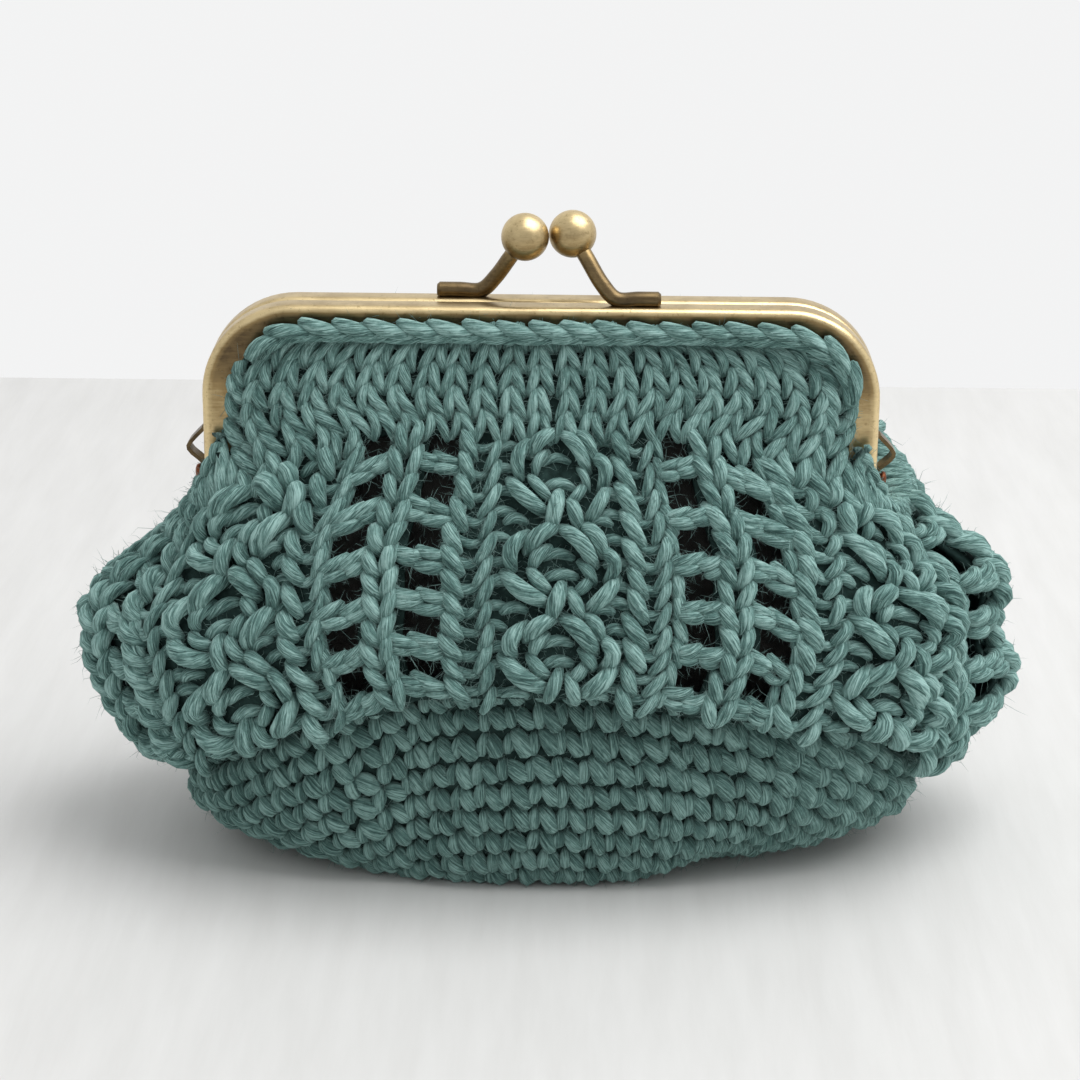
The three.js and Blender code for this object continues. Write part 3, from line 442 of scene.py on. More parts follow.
class Graph:
    """Short ways to add nodes to one material."""

    def __init__(self, made):
        self.tree = made.node_tree

    def node(self, kind, **settings):
        made = self.tree.nodes.new(kind)
        for key, value in settings.items():
            setattr(made, key, value)
        return made

    def link(self, source, target):
        self.tree.links.new(source, target)

    def put(self, target, value):
        if hasattr(value, "is_linked"):
            self.link(value, target)
        else:
            target.default_value = value

    def math(self, operation, a, b=0.0, c=0.0):
        made = self.node("ShaderNodeMath", operation=operation)
        for socket, value in zip(made.inputs, (a, b, c)):
            self.put(socket, value)
        return made.outputs[0]

    def noise(self, vector, scale, detail=3.0, roughness=0.55):
        made = self.node("ShaderNodeTexNoise")
        self.link(vector, made.inputs["Vector"])
        made.inputs["Scale"].default_value = scale
        made.inputs["Detail"].default_value = detail
        made.inputs["Roughness"].default_value = roughness
        return made.outputs["Fac"]

    def ramp(self, value, stops):
        made = self.node("ShaderNodeValToRGB")
        ramp = made.color_ramp
        while len(ramp.elements) < len(stops):
            ramp.elements.new(0.5)
        for element, (place, colour) in zip(ramp.elements, stops):
            element.position = place
            element.color = (*colour, 1.0)
        self.link(value, made.inputs["Fac"])
        return made.outputs["Color"]

    def multiply(self, factor, a, b):
        made = self.node("ShaderNodeMix", data_type="RGBA", blend_type="MULTIPLY")
        made.inputs["Factor"].default_value = factor
        self.link(a, made.inputs["A"])
        self.link(b, made.inputs["B"])
        return made.outputs["Result"]

    def bump(self, height, strength, distance, normal=None):
        made = self.node("ShaderNodeBump")
        made.inputs["Strength"].default_value = strength
        made.inputs["Distance"].default_value = distance
        self.link(height, made.inputs["Height"])
        if normal is not None:
            self.link(normal, made.inputs["Normal"])
        return made.outputs["Normal"]


def wool_material(name, shade, middle, light):
    """Plied wool: plies wind round each strand, fibres run along the plies."""
    made, shader = material(name)
    g = Graph(made)
    uv = g.node("ShaderNodeUVMap", uv_map="yarn")
    split = g.node("ShaderNodeSeparateXYZ")
    g.link(uv.outputs["UV"], split.inputs[0])
    along, around = split.outputs["X"], split.outputs["Y"]
    wound = g.math("ADD", g.math("MULTIPLY", around, 3.0), g.math("MULTIPLY", along, 0.16))
    ply = g.math("ABSOLUTE", g.math("SINE", g.math("MULTIPLY", wound, math.pi)))
    ply = g.math("POWER", ply, 0.6)
    fibre_place = g.node("ShaderNodeCombineXYZ")
    g.link(g.math("MULTIPLY", along, 0.22), fibre_place.inputs["X"])
    g.link(g.math("MULTIPLY", wound, 6.5), fibre_place.inputs["Y"])
    tone = g.node("ShaderNodeAttribute", attribute_name="tone")
    g.link(g.math("MULTIPLY", tone.outputs["Fac"], 57.0), fibre_place.inputs["Z"])
    fibres = g.noise(fibre_place.outputs[0], 1.6, 4.0, 0.65)
    coords = g.node("ShaderNodeTexCoord")
    heather = g.noise(coords.outputs["Object"], 900.0, 4.0, 0.7)
    patch = g.noise(coords.outputs["Object"], 60.0, 2.0)
    value = g.math("MULTIPLY_ADD", fibres, 1.8, g.math("MULTIPLY_ADD", heather, 0.3, -0.55))
    value = g.math("ADD", value, g.math("MULTIPLY_ADD", tone.outputs["Fac"], 0.16, -0.08))
    value = g.math("ADD", value, g.math("MULTIPLY_ADD", patch, 0.16, -0.08))
    # The plies' turns darken the colour in the grooves between them: painted shade.
    value = g.math("ADD", value, g.math("MULTIPLY_ADD", ply, 0.2, -0.13))
    colour = g.ramp(value, ((0.22, shade), (0.5, middle), (0.78, light)))
    g.link(colour, shader.inputs["Base Color"])
    shader.inputs["Roughness"].default_value = 0.92
    shader.inputs["Specular IOR Level"].default_value = 0.2
    shader.inputs["Sheen Weight"].default_value = 0.35
    shader.inputs["Sheen Roughness"].default_value = 0.5
    shader.inputs["Sheen Tint"].default_value = (0.55, 0.85, 0.8, 1.0)
    normal = g.bump(ply, 0.6, 0.0003)
    normal = g.bump(fibres, 0.75, 0.0003, normal)
    g.link(normal, shader.inputs["Normal"])
    return made


def ground_material(name, shade, middle):
    """The fabric seen between the strands: the same wool, its colour darkened as painted shade."""
    made, shader = material(name)
    g = Graph(made)
    coords = g.node("ShaderNodeTexCoord")
    strands = g.noise(coords.outputs["Object"], 420.0, 5.0, 0.7)
    g.link(g.ramp(strands, ((0.3, shade), (0.7, middle))), shader.inputs["Base Color"])
    shader.inputs["Roughness"].default_value = 0.95
    shader.inputs["Specular IOR Level"].default_value = 0.1
    g.link(g.bump(strands, 0.8, 0.0006), shader.inputs["Normal"])
    return made


def fibre_material(name, colour):
    """A loose wool fibre."""
    made, shader = material(name)
    shader.inputs["Base Color"].default_value = (*colour, 1.0)
    shader.inputs["Roughness"].default_value = 0.9
    shader.inputs["Specular IOR Level"].default_value = 0.2
    return made


def cloth_material(name):
    """Charcoal plain-woven cotton."""
    made, shader = material(name)
    g = Graph(made)
    coords = g.node("ShaderNodeTexCoord")
    split = g.node("ShaderNodeSeparateXYZ")
    g.link(coords.outputs["Object"], split.inputs[0])
    warp = g.math("SINE", g.math("MULTIPLY", split.outputs["X"], 14000.0))
    weft = g.math("SINE", g.math("MULTIPLY", split.outputs["Z"], 14000.0))
    weave = g.math("MULTIPLY_ADD", g.math("MULTIPLY", warp, weft), 0.5, 0.5)
    lint = g.noise(coords.outputs["Object"], 500.0, 4.0)
    g.link(
        g.ramp(lint, ((0.3, (0.022, 0.022, 0.02)), (0.75, (0.05, 0.048, 0.043)))),
        shader.inputs["Base Color"],
    )
    shader.inputs["Roughness"].default_value = 0.9
    shader.inputs["Sheen Weight"].default_value = 0.1
    g.link(g.bump(weave, 0.5, 0.0002), shader.inputs["Normal"])
    return made


def brass_material(name, dark, middle, light, rough):
    """Antiqued brass: bright where it is rubbed and where highlights and reflections are painted, brown
    where it is unrubbed and where shade is painted.
    """
    made, shader = material(name)
    g = Graph(made)
    coords = g.node("ShaderNodeTexCoord")
    wear_and_painted_light = g.node("ShaderNodeAttribute", attribute_name="wear_and_painted_light")
    stretch = g.node("ShaderNodeMapping")
    stretch.inputs["Scale"].default_value = (0.12, 1.0, 1.0)
    g.link(coords.outputs["Object"], stretch.inputs["Vector"])
    brushed = g.noise(stretch.outputs[0], 2600.0, 3.0, 0.6)
    patina = g.noise(coords.outputs["Object"], 170.0, 4.0, 0.6)
    specks = g.noise(coords.outputs["Object"], 1500.0, 3.0, 0.6)
    value = g.math("ADD", wear_and_painted_light.outputs["Fac"], g.math("MULTIPLY_ADD", patina, 0.5, -0.25))
    value = g.math("ADD", value, g.math("MULTIPLY_ADD", brushed, 0.3, -0.15))
    colour = g.ramp(value, ((0.05, dark), (0.5, middle), (0.95, light)))
    spotted = g.ramp(specks, ((0.3, (0.5, 0.45, 0.38)), (0.42, (1.0, 1.0, 1.0))))
    g.link(g.multiply(0.5, colour, spotted), shader.inputs["Base Color"])
    shader.inputs["Metallic"].default_value = 1.0
    g.link(
        g.math("MULTIPLY_ADD", patina, -0.12, g.math("MULTIPLY_ADD", brushed, 0.12, rough)),
        shader.inputs["Roughness"],
    )
    g.link(g.bump(brushed, 0.12, 0.00006), shader.inputs["Normal"])
    return made


def floor_material(name):
    """Pale painted boards, faintly streaked."""
    made, shader = material(name)
    g = Graph(made)
    coords = g.node("ShaderNodeTexCoord")
    stretch = g.node("ShaderNodeMapping")
    stretch.inputs["Scale"].default_value = (1.0, 0.12, 1.0)
    g.link(coords.outputs["Object"], stretch.inputs["Vector"])
    streaks = g.noise(stretch.outputs[0], 160.0, 4.0, 0.6)
    g.link(
        g.ramp(streaks, ((0.3, (0.645, 0.642, 0.63)), (0.7, (0.695, 0.693, 0.683)))),
        shader.inputs["Base Color"],
    )
    shader.inputs["Roughness"].default_value = 0.6
    g.link(g.bump(streaks, 0.25, 0.0004), shader.inputs["Normal"])
    return made


YARN = wool_material(
    "teal_knit_wool", (0.032, 0.074, 0.068), (0.122, 0.235, 0.216), (0.34, 0.53, 0.5)
)
CROCHET = wool_material(
    "teal_crochet_wool", (0.027, 0.062, 0.057), (0.09, 0.176, 0.161), (0.24, 0.39, 0.362)
)
# The grounds' colours are far darker than their wool: painted shade between the strands.
GROUND = ground_material("teal_wool_ground_painted_shade", (0.01, 0.021, 0.019), (0.036, 0.07, 0.064))
BASE_GROUND = ground_material("teal_crochet_ground_painted_shade", (0.012, 0.026, 0.024), (0.045, 0.085, 0.077))
FIBRE = fibre_material("teal_wool_fibre", (0.2, 0.31, 0.29))
CLOTH = cloth_material("charcoal_lining_cloth")
BRASS = brass_material(
    "antique_brass", (0.085, 0.06, 0.036), (0.33, 0.235, 0.11), (0.8, 0.64, 0.36), 0.36
)
RIVET = brass_material(
    "coppery_rivet", (0.1, 0.035, 0.018), (0.22, 0.08, 0.04), (0.36, 0.16, 0.09), 0.42
)
FLOOR = floor_material("pale_painted_floor")


# Making pieces.
def add_piece(mesh, name, finish, slot, *nodes):
    mesh.materials.append(finish)
    piece = bpy.data.objects.new(name, mesh)
    bpy.context.scene.collection.objects.link(piece)
    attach(piece, BODY)
    if nodes:
        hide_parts(*nodes)
    return piece


def piece_from(bm, name, finish, slot, *nodes, sharp=None):
    """A piece from a bmesh in millimetres."""
    bmesh.ops.scale(bm, vec=(MM, MM, MM), verts=bm.verts)
    mesh = bpy.data.meshes.new(name)
    bm.to_mesh(mesh)
    bm.free()
    mesh.shade_smooth()
    if sharp is not None:
        mesh.set_sharp_from_angle(angle=math.radians(sharp))
    return add_piece(mesh, name, finish, slot, *nodes)


def cell_sheet(columns, rows):
    """A flat sheet of cells, one unit wide and tall."""
    bm = bmesh.new()
    bmesh.ops.create_grid(bm, x_segments=columns, y_segments=rows, size=0.5)
    return bm


def close_up(bm, gap):
    """Joins points that meet, and turns the faces outwards."""
    bmesh.ops.remove_doubles(bm, verts=bm.verts, dist=gap)
    bmesh.ops.recalc_face_normals(bm, faces=bm.faces)


def settle(bm, places, gap):
    """Moves the points of a sheet to their places and closes it up."""
    for vert, co in zip(bm.verts, places):
        vert.co = co
    close_up(bm, gap)


def thicken(piece, thickness):
    layer = piece.modifiers.new("thickness", "SOLIDIFY")
    layer.thickness, layer.offset = thickness * MM, -1.0


def copied_faces(count, each, quads, fans):
    """Corners and sizes of the faces of many copies of one shape, all the quads first."""
    shift = (np.arange(count) * each)[:, None, None]
    corners = np.concatenate([(np.array(faces)[None] + shift).ravel() for faces in (quads, fans)])
    return corners, np.repeat((4, 3), (count * len(quads), count * len(fans)))


def joined_mesh(name, points, corners, sizes):
    """One mesh from many small shapes: points in millimetres, corners face by face."""
    mesh = bpy.data.meshes.new(name)
    mesh.vertices.add(len(points))
    mesh.vertices.foreach_set("co", (points * MM).astype(np.float32).ravel())
    mesh.loops.add(len(corners))
    mesh.loops.foreach_set("vertex_index", corners.astype(np.int32))
    mesh.polygons.add(len(sizes))
    starts = np.concatenate([[0], np.cumsum(sizes)[:-1]])
    mesh.polygons.foreach_set("loop_start", starts.astype(np.int32))
    mesh.update(calc_edges=True)
    mesh.validate()
    mesh.shade_smooth()
    return mesh


RINGS, SIDES = 7, 7
ALONG = np.linspace(0, 1, RINGS)
ARCH = np.sin(np.pi * ALONG)


def strand_faces():
    """A stretch's quads and end fans, and the ring and side where each of their corners lies."""
    quads, quad_chart, fans, fan_chart = [], [], [], []
    for k in range(RINGS - 1):
        for i in range(SIDES):
            j = (i + 1) % SIDES
            quads.append((k * SIDES + i, k * SIDES + j, (k + 1) * SIDES + j, (k + 1) * SIDES + i))
            quad_chart.append(((k, i), (k, i + 1), (k + 1, i + 1), (k + 1, i)))
    pole, end = RINGS * SIDES, RINGS - 1
    for i in range(SIDES):
        j = (i + 1) % SIDES
        fans.append((pole, j, i))
        fan_chart.append(((0, i + 0.5), (0, i + 1), (0, i)))
        fans.append((pole + 1, end * SIDES + i, end * SIDES + j))
        fan_chart.append(((end, i + 0.5), (end, i), (end, i + 1)))
    return quads, fans, (np.array(quad_chart), np.array(fan_chart))


def chart_points(place):
    """Stitches and rows, each of them one number or many, as pairs."""
    stitches, rows = np.broadcast_arrays(*np.atleast_1d(*place))
    return np.stack([stitches, rows], axis=1).astype(float)


class Strands:
    """Plump stretches of yarn between two places, gathered into one mesh."""

    def __init__(self, surface):
        self.surface = surface
        self.paths, self.outs, self.radii = [], [], []

    def add(self, start, end, bow, radius, lift, sink, thin, loose=0.05, fit=True):
        """Start, end and bow are in stitches and rows, and radius, lift and sink in millimetres.

        Sink, and thin, the share of the radius that is left, may differ at the two ends.
        """
        start, end = chart_points(start), chart_points(end)
        count = len(start)
        start = start + RNG.normal(0, loose, start.shape)
        end = end + RNG.normal(0, loose, end.shape)
        bow = np.broadcast_to(np.asarray(bow, float), start.shape)
        chart = (
            start[:, None] * (1 - ALONG)[None, :, None]
            + end[:, None] * ALONG[None, :, None]
            + bow[:, None] * ARCH[None, :, None]
        )
        place, out, width = self.surface(chart[..., 0], chart[..., 1])
        size = radius * RNG.normal(1, 0.06, (count, 1))
        if fit:
            size = size * np.clip(width.mean(axis=1, keepdims=True) / STITCH_WIDTH, 0.84, 1.22)
        sinking = np.interp(ALONG, (0, 1), np.broadcast_to(sink, 2))
        thinning = np.interp(ALONG, (0, 1), np.broadcast_to(thin, 2))
        height = (lift * ARCH - sinking * (1 - ARCH))[None] + RNG.normal(0, 0.1, (count, 1))
        self.paths.append(place + out * height[..., None])
        self.outs.append(out)
        self.radii.append(size * (thinning + (1 - thinning) * ARCH**0.7)[None])

    def add_path(self, centre, out, radius):
        """Stretches whose middle lines are stated in millimetres."""
        self.paths.append(centre)
        self.outs.append(out)
        self.radii.append(radius)

    def mesh(self, name, floor):
        centre, out = np.concatenate(self.paths), np.concatenate(self.outs)
        radius = np.concatenate(self.radii)
        if floor is not None:
            centre[..., 2] = np.maximum(centre[..., 2], floor + radius)
        count = len(centre)
        tangent = unit(np.gradient(centre, axis=1))
        side = unit(np.cross(tangent, out))
        up = np.cross(side, tangent)
        turn = np.linspace(0, 2 * np.pi, SIDES, endpoint=False)
        ring = (
            np.cos(turn)[None, None, :, None] * up[:, :, None]
            + np.sin(turn)[None, None, :, None] * side[:, :, None]
        )
        body = centre[:, :, None] + ring * radius[:, :, None, None]
        self.skin, self.way_out = body.reshape(-1, 3), ring.reshape(-1, 3)
        poles = np.stack(
            [
                centre[:, 0] - tangent[:, 0] * radius[:, :1] * 0.6,
                centre[:, -1] + tangent[:, -1] * radius[:, -1:] * 0.6,
            ],
            axis=1,
        )
        points = np.concatenate([body.reshape(count, -1, 3), poles], axis=1)
        each = points.shape[1]
        quads, fans, charts = strand_faces()
        corners, sizes = copied_faces(count, each, quads, fans)
        mesh = joined_mesh(name, points.reshape(-1, 3), corners, sizes)
        run, places = run_along(centre), []
        for chart in charts:
            along = run[:, chart[..., 0].astype(int)]
            around = np.broadcast_to(chart[..., 1] / SIDES, along.shape)
            places.append(np.stack([along, around], axis=-1).ravel())
        layer = mesh.uv_layers.new(name="yarn")
        layer.data.foreach_set("uv", np.concatenate(places).astype(np.float32))
        tone = mesh.attributes.new("tone", "FLOAT", "POINT")
        tone.data.foreach_set("value", np.repeat(RNG.random(count), each).astype(np.float32))
        return mesh

    def piece(self, name, finish, slot, *nodes, floor=None):
        return add_piece(self.mesh(name, floor), name, finish, slot, *nodes)


FIBRE_SHORTEST, FIBRE_LONGEST = 0.6, 6.0
FIBRE_SUNK, FIBRE_ROOT, FIBRE_BEND = 0.15, 0.04, 0.03


def fuzz(name, yarns, counts, finish, slot):
    """Loose fibres standing off the yarn: thin three-sided spikes with one bend."""
    roots, ways = [], []
    for yarn, count in zip(yarns, counts):
        chosen = RNG.integers(0, len(yarn.skin), count)
        roots.append(yarn.skin[chosen])
        ways.append(yarn.way_out[chosen])
    root, way = np.concatenate(roots), np.concatenate(ways)
    count = len(root)
    length = np.clip(RNG.lognormal(0.5, 0.55, (count, 1)), FIBRE_SHORTEST, FIBRE_LONGEST)
    way = unit(way + RNG.normal(0, 0.6, (count, 3)))
    bent = unit(way + RNG.normal(0, 0.75, (count, 3)))
    middle = root + way * length * 0.5
    tip = middle + bent * length * 0.5
    across = unit(np.cross(way, RNG.normal(0, 1, (count, 3))))
    other = np.cross(way, across)
    turn = np.array([0, 2 * np.pi / 3, 4 * np.pi / 3])
    ring = np.cos(turn)[None, :, None] * across[:, None] + np.sin(turn)[None, :, None] * other[:, None]
    start = (root - way * FIBRE_SUNK)[:, None] + ring * FIBRE_ROOT
    points = np.concatenate([start, middle[:, None] + ring * FIBRE_BEND, tip[:, None]], axis=1)
    points[..., 2] = np.maximum(points[..., 2], FIBRE_FLOOR)
    quads = [(i, (i + 1) % 3, 3 + (i + 1) % 3, 3 + i) for i in range(3)]
    fans = [(3 + i, 3 + (i + 1) % 3, 6) for i in range(3)] + [(2, 1, 0)]
    corners, sizes = copied_faces(count, points.shape[1], quads, fans)
    return add_piece(joined_mesh(name, points.reshape(-1, 3), corners, sizes), name, finish, slot)


# Knitted fabric.
# One ring of a cable, in stitches from its middle and rows from its top.
CABLE_RING = (
    {"start": (-0.05, -0.05), "end": (-1.1, 1.1), "bow": (-0.1, -0.05), "radius": 1.65, "lift": 0.9},
    {"start": (-1.0, 0.25), "end": (-1.45, 1.95), "bow": (-0.34, 0.0), "radius": 1.55, "lift": 0.7},
    {"start": (-1.85, 1.9), "end": (-0.35, 3.4), "bow": (-0.12, 0.18), "radius": 1.75, "lift": 1.0},
    {"start": (-0.35, 0.8), "end": (-0.85, 1.75), "bow": (-0.12, 0.0), "radius": 1.25, "lift": -0.3},
    {"start": (-1.0, 1.85), "end": (-0.3, 2.85), "bow": (-0.06, 0.05), "radius": 1.25, "lift": -0.2},
    {"start": (0.12, 2.5), "end": (-0.28, 4.1), "bow": (0.03, 0.0), "radius": 1.5, "lift": 0.6},
    {"start": (0.45, 2.8), "end": (0.8, 4.15), "bow": (0.0, 0.0), "radius": 1.4, "lift": 0.5},
    {"start": (1.9, 2.25), "end": (0.95, 3.65), "bow": (0.08, 0.1), "radius": 1.55, "lift": 0.9},
    {"start": (0.08, -0.05), "end": (1.25, 1.65), "bow": (0.12, -0.05), "radius": 1.75, "lift": 1.1},
    {"start": (0.85, -0.1), "end": (1.5, 1.2), "bow": (0.12, -0.1), "radius": 1.45, "lift": 0.6},
    {"start": (1.45, 0.9), "end": (1.65, 2.4), "bow": (0.34, 0.0), "radius": 1.5, "lift": 0.8},
    {"start": (0.75, 1.45), "end": (1.2, 2.45), "bow": (0.06, 0.0), "radius": 1.25, "lift": -0.2},
    {"start": (1.05, 2.2), "end": (0.5, 3.0), "bow": (0.04, 0.05), "radius": 1.2, "lift": -0.3},
    {"start": (-0.6, 1.35), "end": (0.5, 1.3), "bow": (0.0, -0.25), "radius": 1.1, "lift": -1.7},
    {"start": (-0.5, 2.3), "end": (0.6, 2.3), "bow": (0.0, -0.2), "radius": 1.15, "lift": -1.8},
    {"start": (-1.95, 3.75), "end": (-1.05, 3.8), "bow": (0.0, -0.2), "radius": 1.15, "lift": -1.3},
    {"start": (1.15, 3.85), "end": (1.95, 3.8), "bow": (0.0, -0.2), "radius": 1.15, "lift": -1.3},
)
CABLE_ROWS = 4


def knit_cable(yarn, middle):
    for ring in range(3):
        top = ring * CABLE_ROWS
        for stretch in CABLE_RING:
            (x0, y0), (x1, y1) = stretch["start"], stretch["end"]
            yarn.add(
                (middle + x0, top + y0), (middle + x1, top + y1), stretch["bow"],
                stretch["radius"], stretch["lift"], 2.1, 0.62, 0.04,
            )


def knit_ribs(yarn, middle):
    """A wide rib on each side of a cable: a plump left leg, a thin right leg and bars between."""
    rows = np.arange(0, BAND_ROWS)
    for plump, thin, pitch in ((-3.52, -2.5, 1.0), (2.62, 3.5, 1.15)):
        down = np.arange(-0.2, BAND_ROWS - 0.3, pitch)
        yarn.add(
            (middle + plump - 0.28, down), (middle + plump + 0.26, down + 1.3 * pitch),
            (-0.06, 0.0), 1.5, 0.1, 1.7, 0.62,
        )
        yarn.add(
            (middle + thin + 0.22, rows + 0.35), (middle + thin - 0.22, rows + 1.6),
            (0.08, 0.0), 1.12, -0.2, 1.2, 0.65,
        )
        centre = (plump + thin) / 2
        yarn.add(
            (middle + centre - 0.5, rows + 0.5), (middle + centre + 0.5, rows + 0.6),
            (0.0, 0.25), 1.0, -1.7, 1.5, 0.7, 0.1,
        )
    for gutter in (-2.05, 2.0):
        yarn.add(
            (middle + gutter - 0.5, rows + 0.6), (middle + gutter + 0.5, rows + 0.6),
            (0.0, -0.2), 1.15, -1.9, 2.4, 0.7, 0.14,
        )


def knit_lace(yarn, middle, open_right):
    """A column of plain stitches with a ladder of rungs and holes on each side."""
    rows = np.arange(-0.3, BAND_ROWS - 0.4)
    rungs = 2.0 * np.arange(6)
    for side, girth in ((-1, 1.45), (1, 1.35)):
        far = 2.3 if open_right and side > 0 else 2.05
        yarn.add(
            (middle + side * 0.47, rows), (middle + side * 0.06, rows + 1.38),
            (side * 0.05, 0.0), girth, 0.7, 1.4, 0.62,
        )
        yarn.add(
            (middle + side * far, rows + 0.2), (middle + side * (far - 0.08), rows + 1.4),
            (0.0, 0.0), 1.2, -0.9, 1.8, 0.7, 0.1,
        )
        for near, low, reach, drop, radius in (
            (0.3, 0.75, 1.45, 1.35, 1.35), (1.1, 0.9, far, 1.45, 1.3),
            (0.35, 1.2, 1.3, 1.5, 1.25), (1.05, 1.5, far, 1.7, 1.2),
        ):
            yarn.add(
                (middle + side * near, rungs + low), (middle + side * reach, rungs + drop),
                (0.0, 0.12), radius, -0.2, 1.1, 0.7, 0.09,
            )


def row_at(u, z):
    """The row at a level of a stitch column."""
    station = u / STITCHES
    share, _, _ = quarter_of(station)
    top, bottom = band_top(share * 3), band_bottom(station)
    above = -FLAP_ROWS * (z - top) / (FLAP_TOP - top)
    return np.where(z > top, above, BAND_ROWS * (top - z) / (top - bottom))


def knit_flap(yarn, middle):
    """Plain knit above the band, stitch for stitch, from one leg of the frame to the other."""
    columns = FLAP_STITCH * (np.arange(-12, 12) + 0.5)
    tops = band_top(np.abs(columns) / STITCHES)
    for row in range(-1, 9):
        z = FLAP_TOP - row * FLAP_ROW_HEIGHT
        widest = 11.2 if z > 74 else 12.2
        u = middle + columns[(tops < z - 1.2) & (np.abs(columns) < widest)]
        for side in (-1, 1):
            yarn.add(
                (u + side * 0.47, row_at(u, z)),
                (u + side * 0.07, row_at(u, z - 1.4 * FLAP_ROW_HEIGHT)),
                (side * 0.05, 0.0), 1.2, -0.35, 1.5, 0.6, 0.05,
            )


def knit_slit(yarn, middle):
    """The slit under a hinge: plain stitches drawn in to it, and their cast-off edge."""
    columns = middle + 1.02 * np.arange(-5.5, 6)
    for side in (-1, 1):
        yarn.add(
            (columns + side * 0.47, -0.95 * SLIT_ROWS), (columns + side * 0.07, 0.4),
            (side * 0.05, 0.0), 1.2, 0.0, 1.2, 0.65,
        )
    yarn.add(
        (columns - 0.62, -SLIT_ROWS), (columns + 0.62, -SLIT_ROWS),
        (0.0, 0.0), 1.25, 0.3, 0.5, 0.7, 0.05,
    )


KNIT_PARTS = (
    {"name": "front", "middle": 0, "cables": (0,), "lace": (-6, 6)},
    {"name": "right", "middle": 18, "cables": (12, 24), "lace": (18,)},
    {"name": "back", "middle": 36, "cables": (36,), "lace": (30, 42)},
    {"name": "left", "middle": 54, "cables": (48, 60), "lace": (54,)},
)


def shifted(column):
    """Where a column of the pattern stands, in stitches."""
    return column + PATTERN_SHIFT + LEFT_PULL["stitches"] * bell(column / STITCHES, LEFT_PULL)


stitch_pieces, knit_yarns = [], []
for part in KNIT_PARTS:
    yarn = Strands(fabric_frame)
    for cable in part["cables"]:
        knit_cable(yarn, shifted(cable))
        knit_ribs(yarn, shifted(cable))
    for column in part["lace"]:
        knit_lace(yarn, shifted(column), column < 0)
    if part["name"] in ("front", "back"):
        knit_flap(yarn, part["middle"])
    else:
        knit_slit(yarn, part["middle"])
    name = "knit_stitches_" + part["name"]
    stitch_pieces.append(yarn.piece(name, YARN, "knit_wool"))
    knit_yarns.append(yarn)
for name, yarns, counts in (
    ("knit_fuzz_front", (knit_yarns[0],), (16000,)),
    ("knit_fuzz_sides", (knit_yarns[1], knit_yarns[3]), (5000, 5000)),
    ("knit_fuzz_back", (knit_yarns[2],), (8000,)),
):
    stitch_pieces.append(fuzz(name, yarns, counts, FIBRE, "knit_wool"))

LACE_MIDDLES = [shifted(column) for part in KNIT_PARTS for column in part["lace"]]


def lace_hole(u, v):
    """Whether a cell of the ground lies in a lace hole."""
    from_lace = min(STITCHES * station_gap(u / STITCHES, middle / STITCHES) for middle in LACE_MIDDLES)
    beside_lace = LACE_HOLE["near"] < from_lace < LACE_HOLE["far"]
    in_band = 0 <= v < BAND_ROWS - LACE_HOLE["off_hem"]
    between_rungs = np.mod(v + LACE_HOLE["raised"], LACE_HOLE["pitch"]) < LACE_HOLE["tall"]
    closed = any(start < u < end for start, end in CLOSED_LACE)
    return beside_lace and in_band and between_rungs and not closed


def ground_place(x, y):
    """The stitch and row of a point of the flat ground."""
    return (x + 0.5) * ROUND + SEAM_STITCH, (0.5 - y) * (BAND_ROWS + FLAP_ROWS) - FLAP_ROWS


def fabric_ground():
    """The wall behind the stitches, open at the lace holes and above the hinges."""
    bm = cell_sheet(2 * ROUND, int(2 * (BAND_ROWS + FLAP_ROWS)))
    doomed = []
    for face in bm.faces:
        centre = face.calc_center_median()
        u, v = ground_place(centre.x, centre.y)
        share, _, _ = quarter_of(np.array(u / STITCHES))
        above = v < -1 and share * 3 > FLAP_EDGE
        beside_leg = v < -1 and FLAP_MOUTH + 0.05 < share * 3 < FLAP_EDGE
        shoulder = v < 0 and abs(u - SHOULDER["station"] * STITCHES) < SHOULDER_GAP
        if above or beside_leg or shoulder or lace_hole(u, v):
            doomed.append(face)
    bmesh.ops.delete(bm, geom=doomed, context="FACES")
    places = np.array([vert.co for vert in bm.verts])
    place, out, _ = fabric_frame(*ground_place(places[:, 0], places[:, 1]))
    settle(bm, place - out * GROUND_DEPTH, gap=0.02)
    return bm


ground = piece_from(fabric_ground(), "knit_ground", GROUND, "knit_wool", "knit_body")
thicken(ground, GROUND_THICKNESS)


# Crocheted base.
def crochet_rounds(yarn):
    """Single crochet: each stitch is a plump slanting strand beside a slim upright one."""
    for v in np.arange(0.5, 17):
        stitches = np.arange(CROCHET_STITCHES) + RNG.random()
        station = crochet_station(stitches)
        rim = np.interp(station, BASE_STATIONS, BASE_RIM)
        up = v + round_dip(station)
        stitches = stitches[(up > -0.3) & (up * BASE_ROW < rim - 1.0)]
        yarn.add(
            (stitches - 0.08, v + 0.42), (stitches + 0.36, v - 0.34),
            (0.05, 0.0), 1.8, -0.6, (2.2, 1.1), (0.6, 0.82), 0.06,
        )
        yarn.add(
            (stitches + 0.68, v + 0.42), (stitches + 0.62, v - 0.24),
            (0.0, 0.0), 1.45, -0.7, (2.1, 1.4), (0.6, 0.78), 0.06,
        )


def crochet_under(yarn):
    """The rounds of the flat bottom, fewer stitches in each towards the middle."""
    for round_in in range(6):
        v = -0.5 - round_in
        count = int(CROCHET_STITCHES * 0.8 * (1 + v * BASE_ROW / UNDER_RADIUS))
        stitches = np.arange(count) * CROCHET_STITCHES / count
        wide = CROCHET_STITCHES / count
        for outer, inner, radius in ((-0.06, 0.42, 1.7), (0.8, 0.66, 1.4)):
            yarn.add(
                (stitches + outer * wide, v + 0.4), (stitches + inner * wide, v - 0.4),
                (0.0, 0.0), radius, -1.2, 2.1, 0.62, 0.05, False,
            )


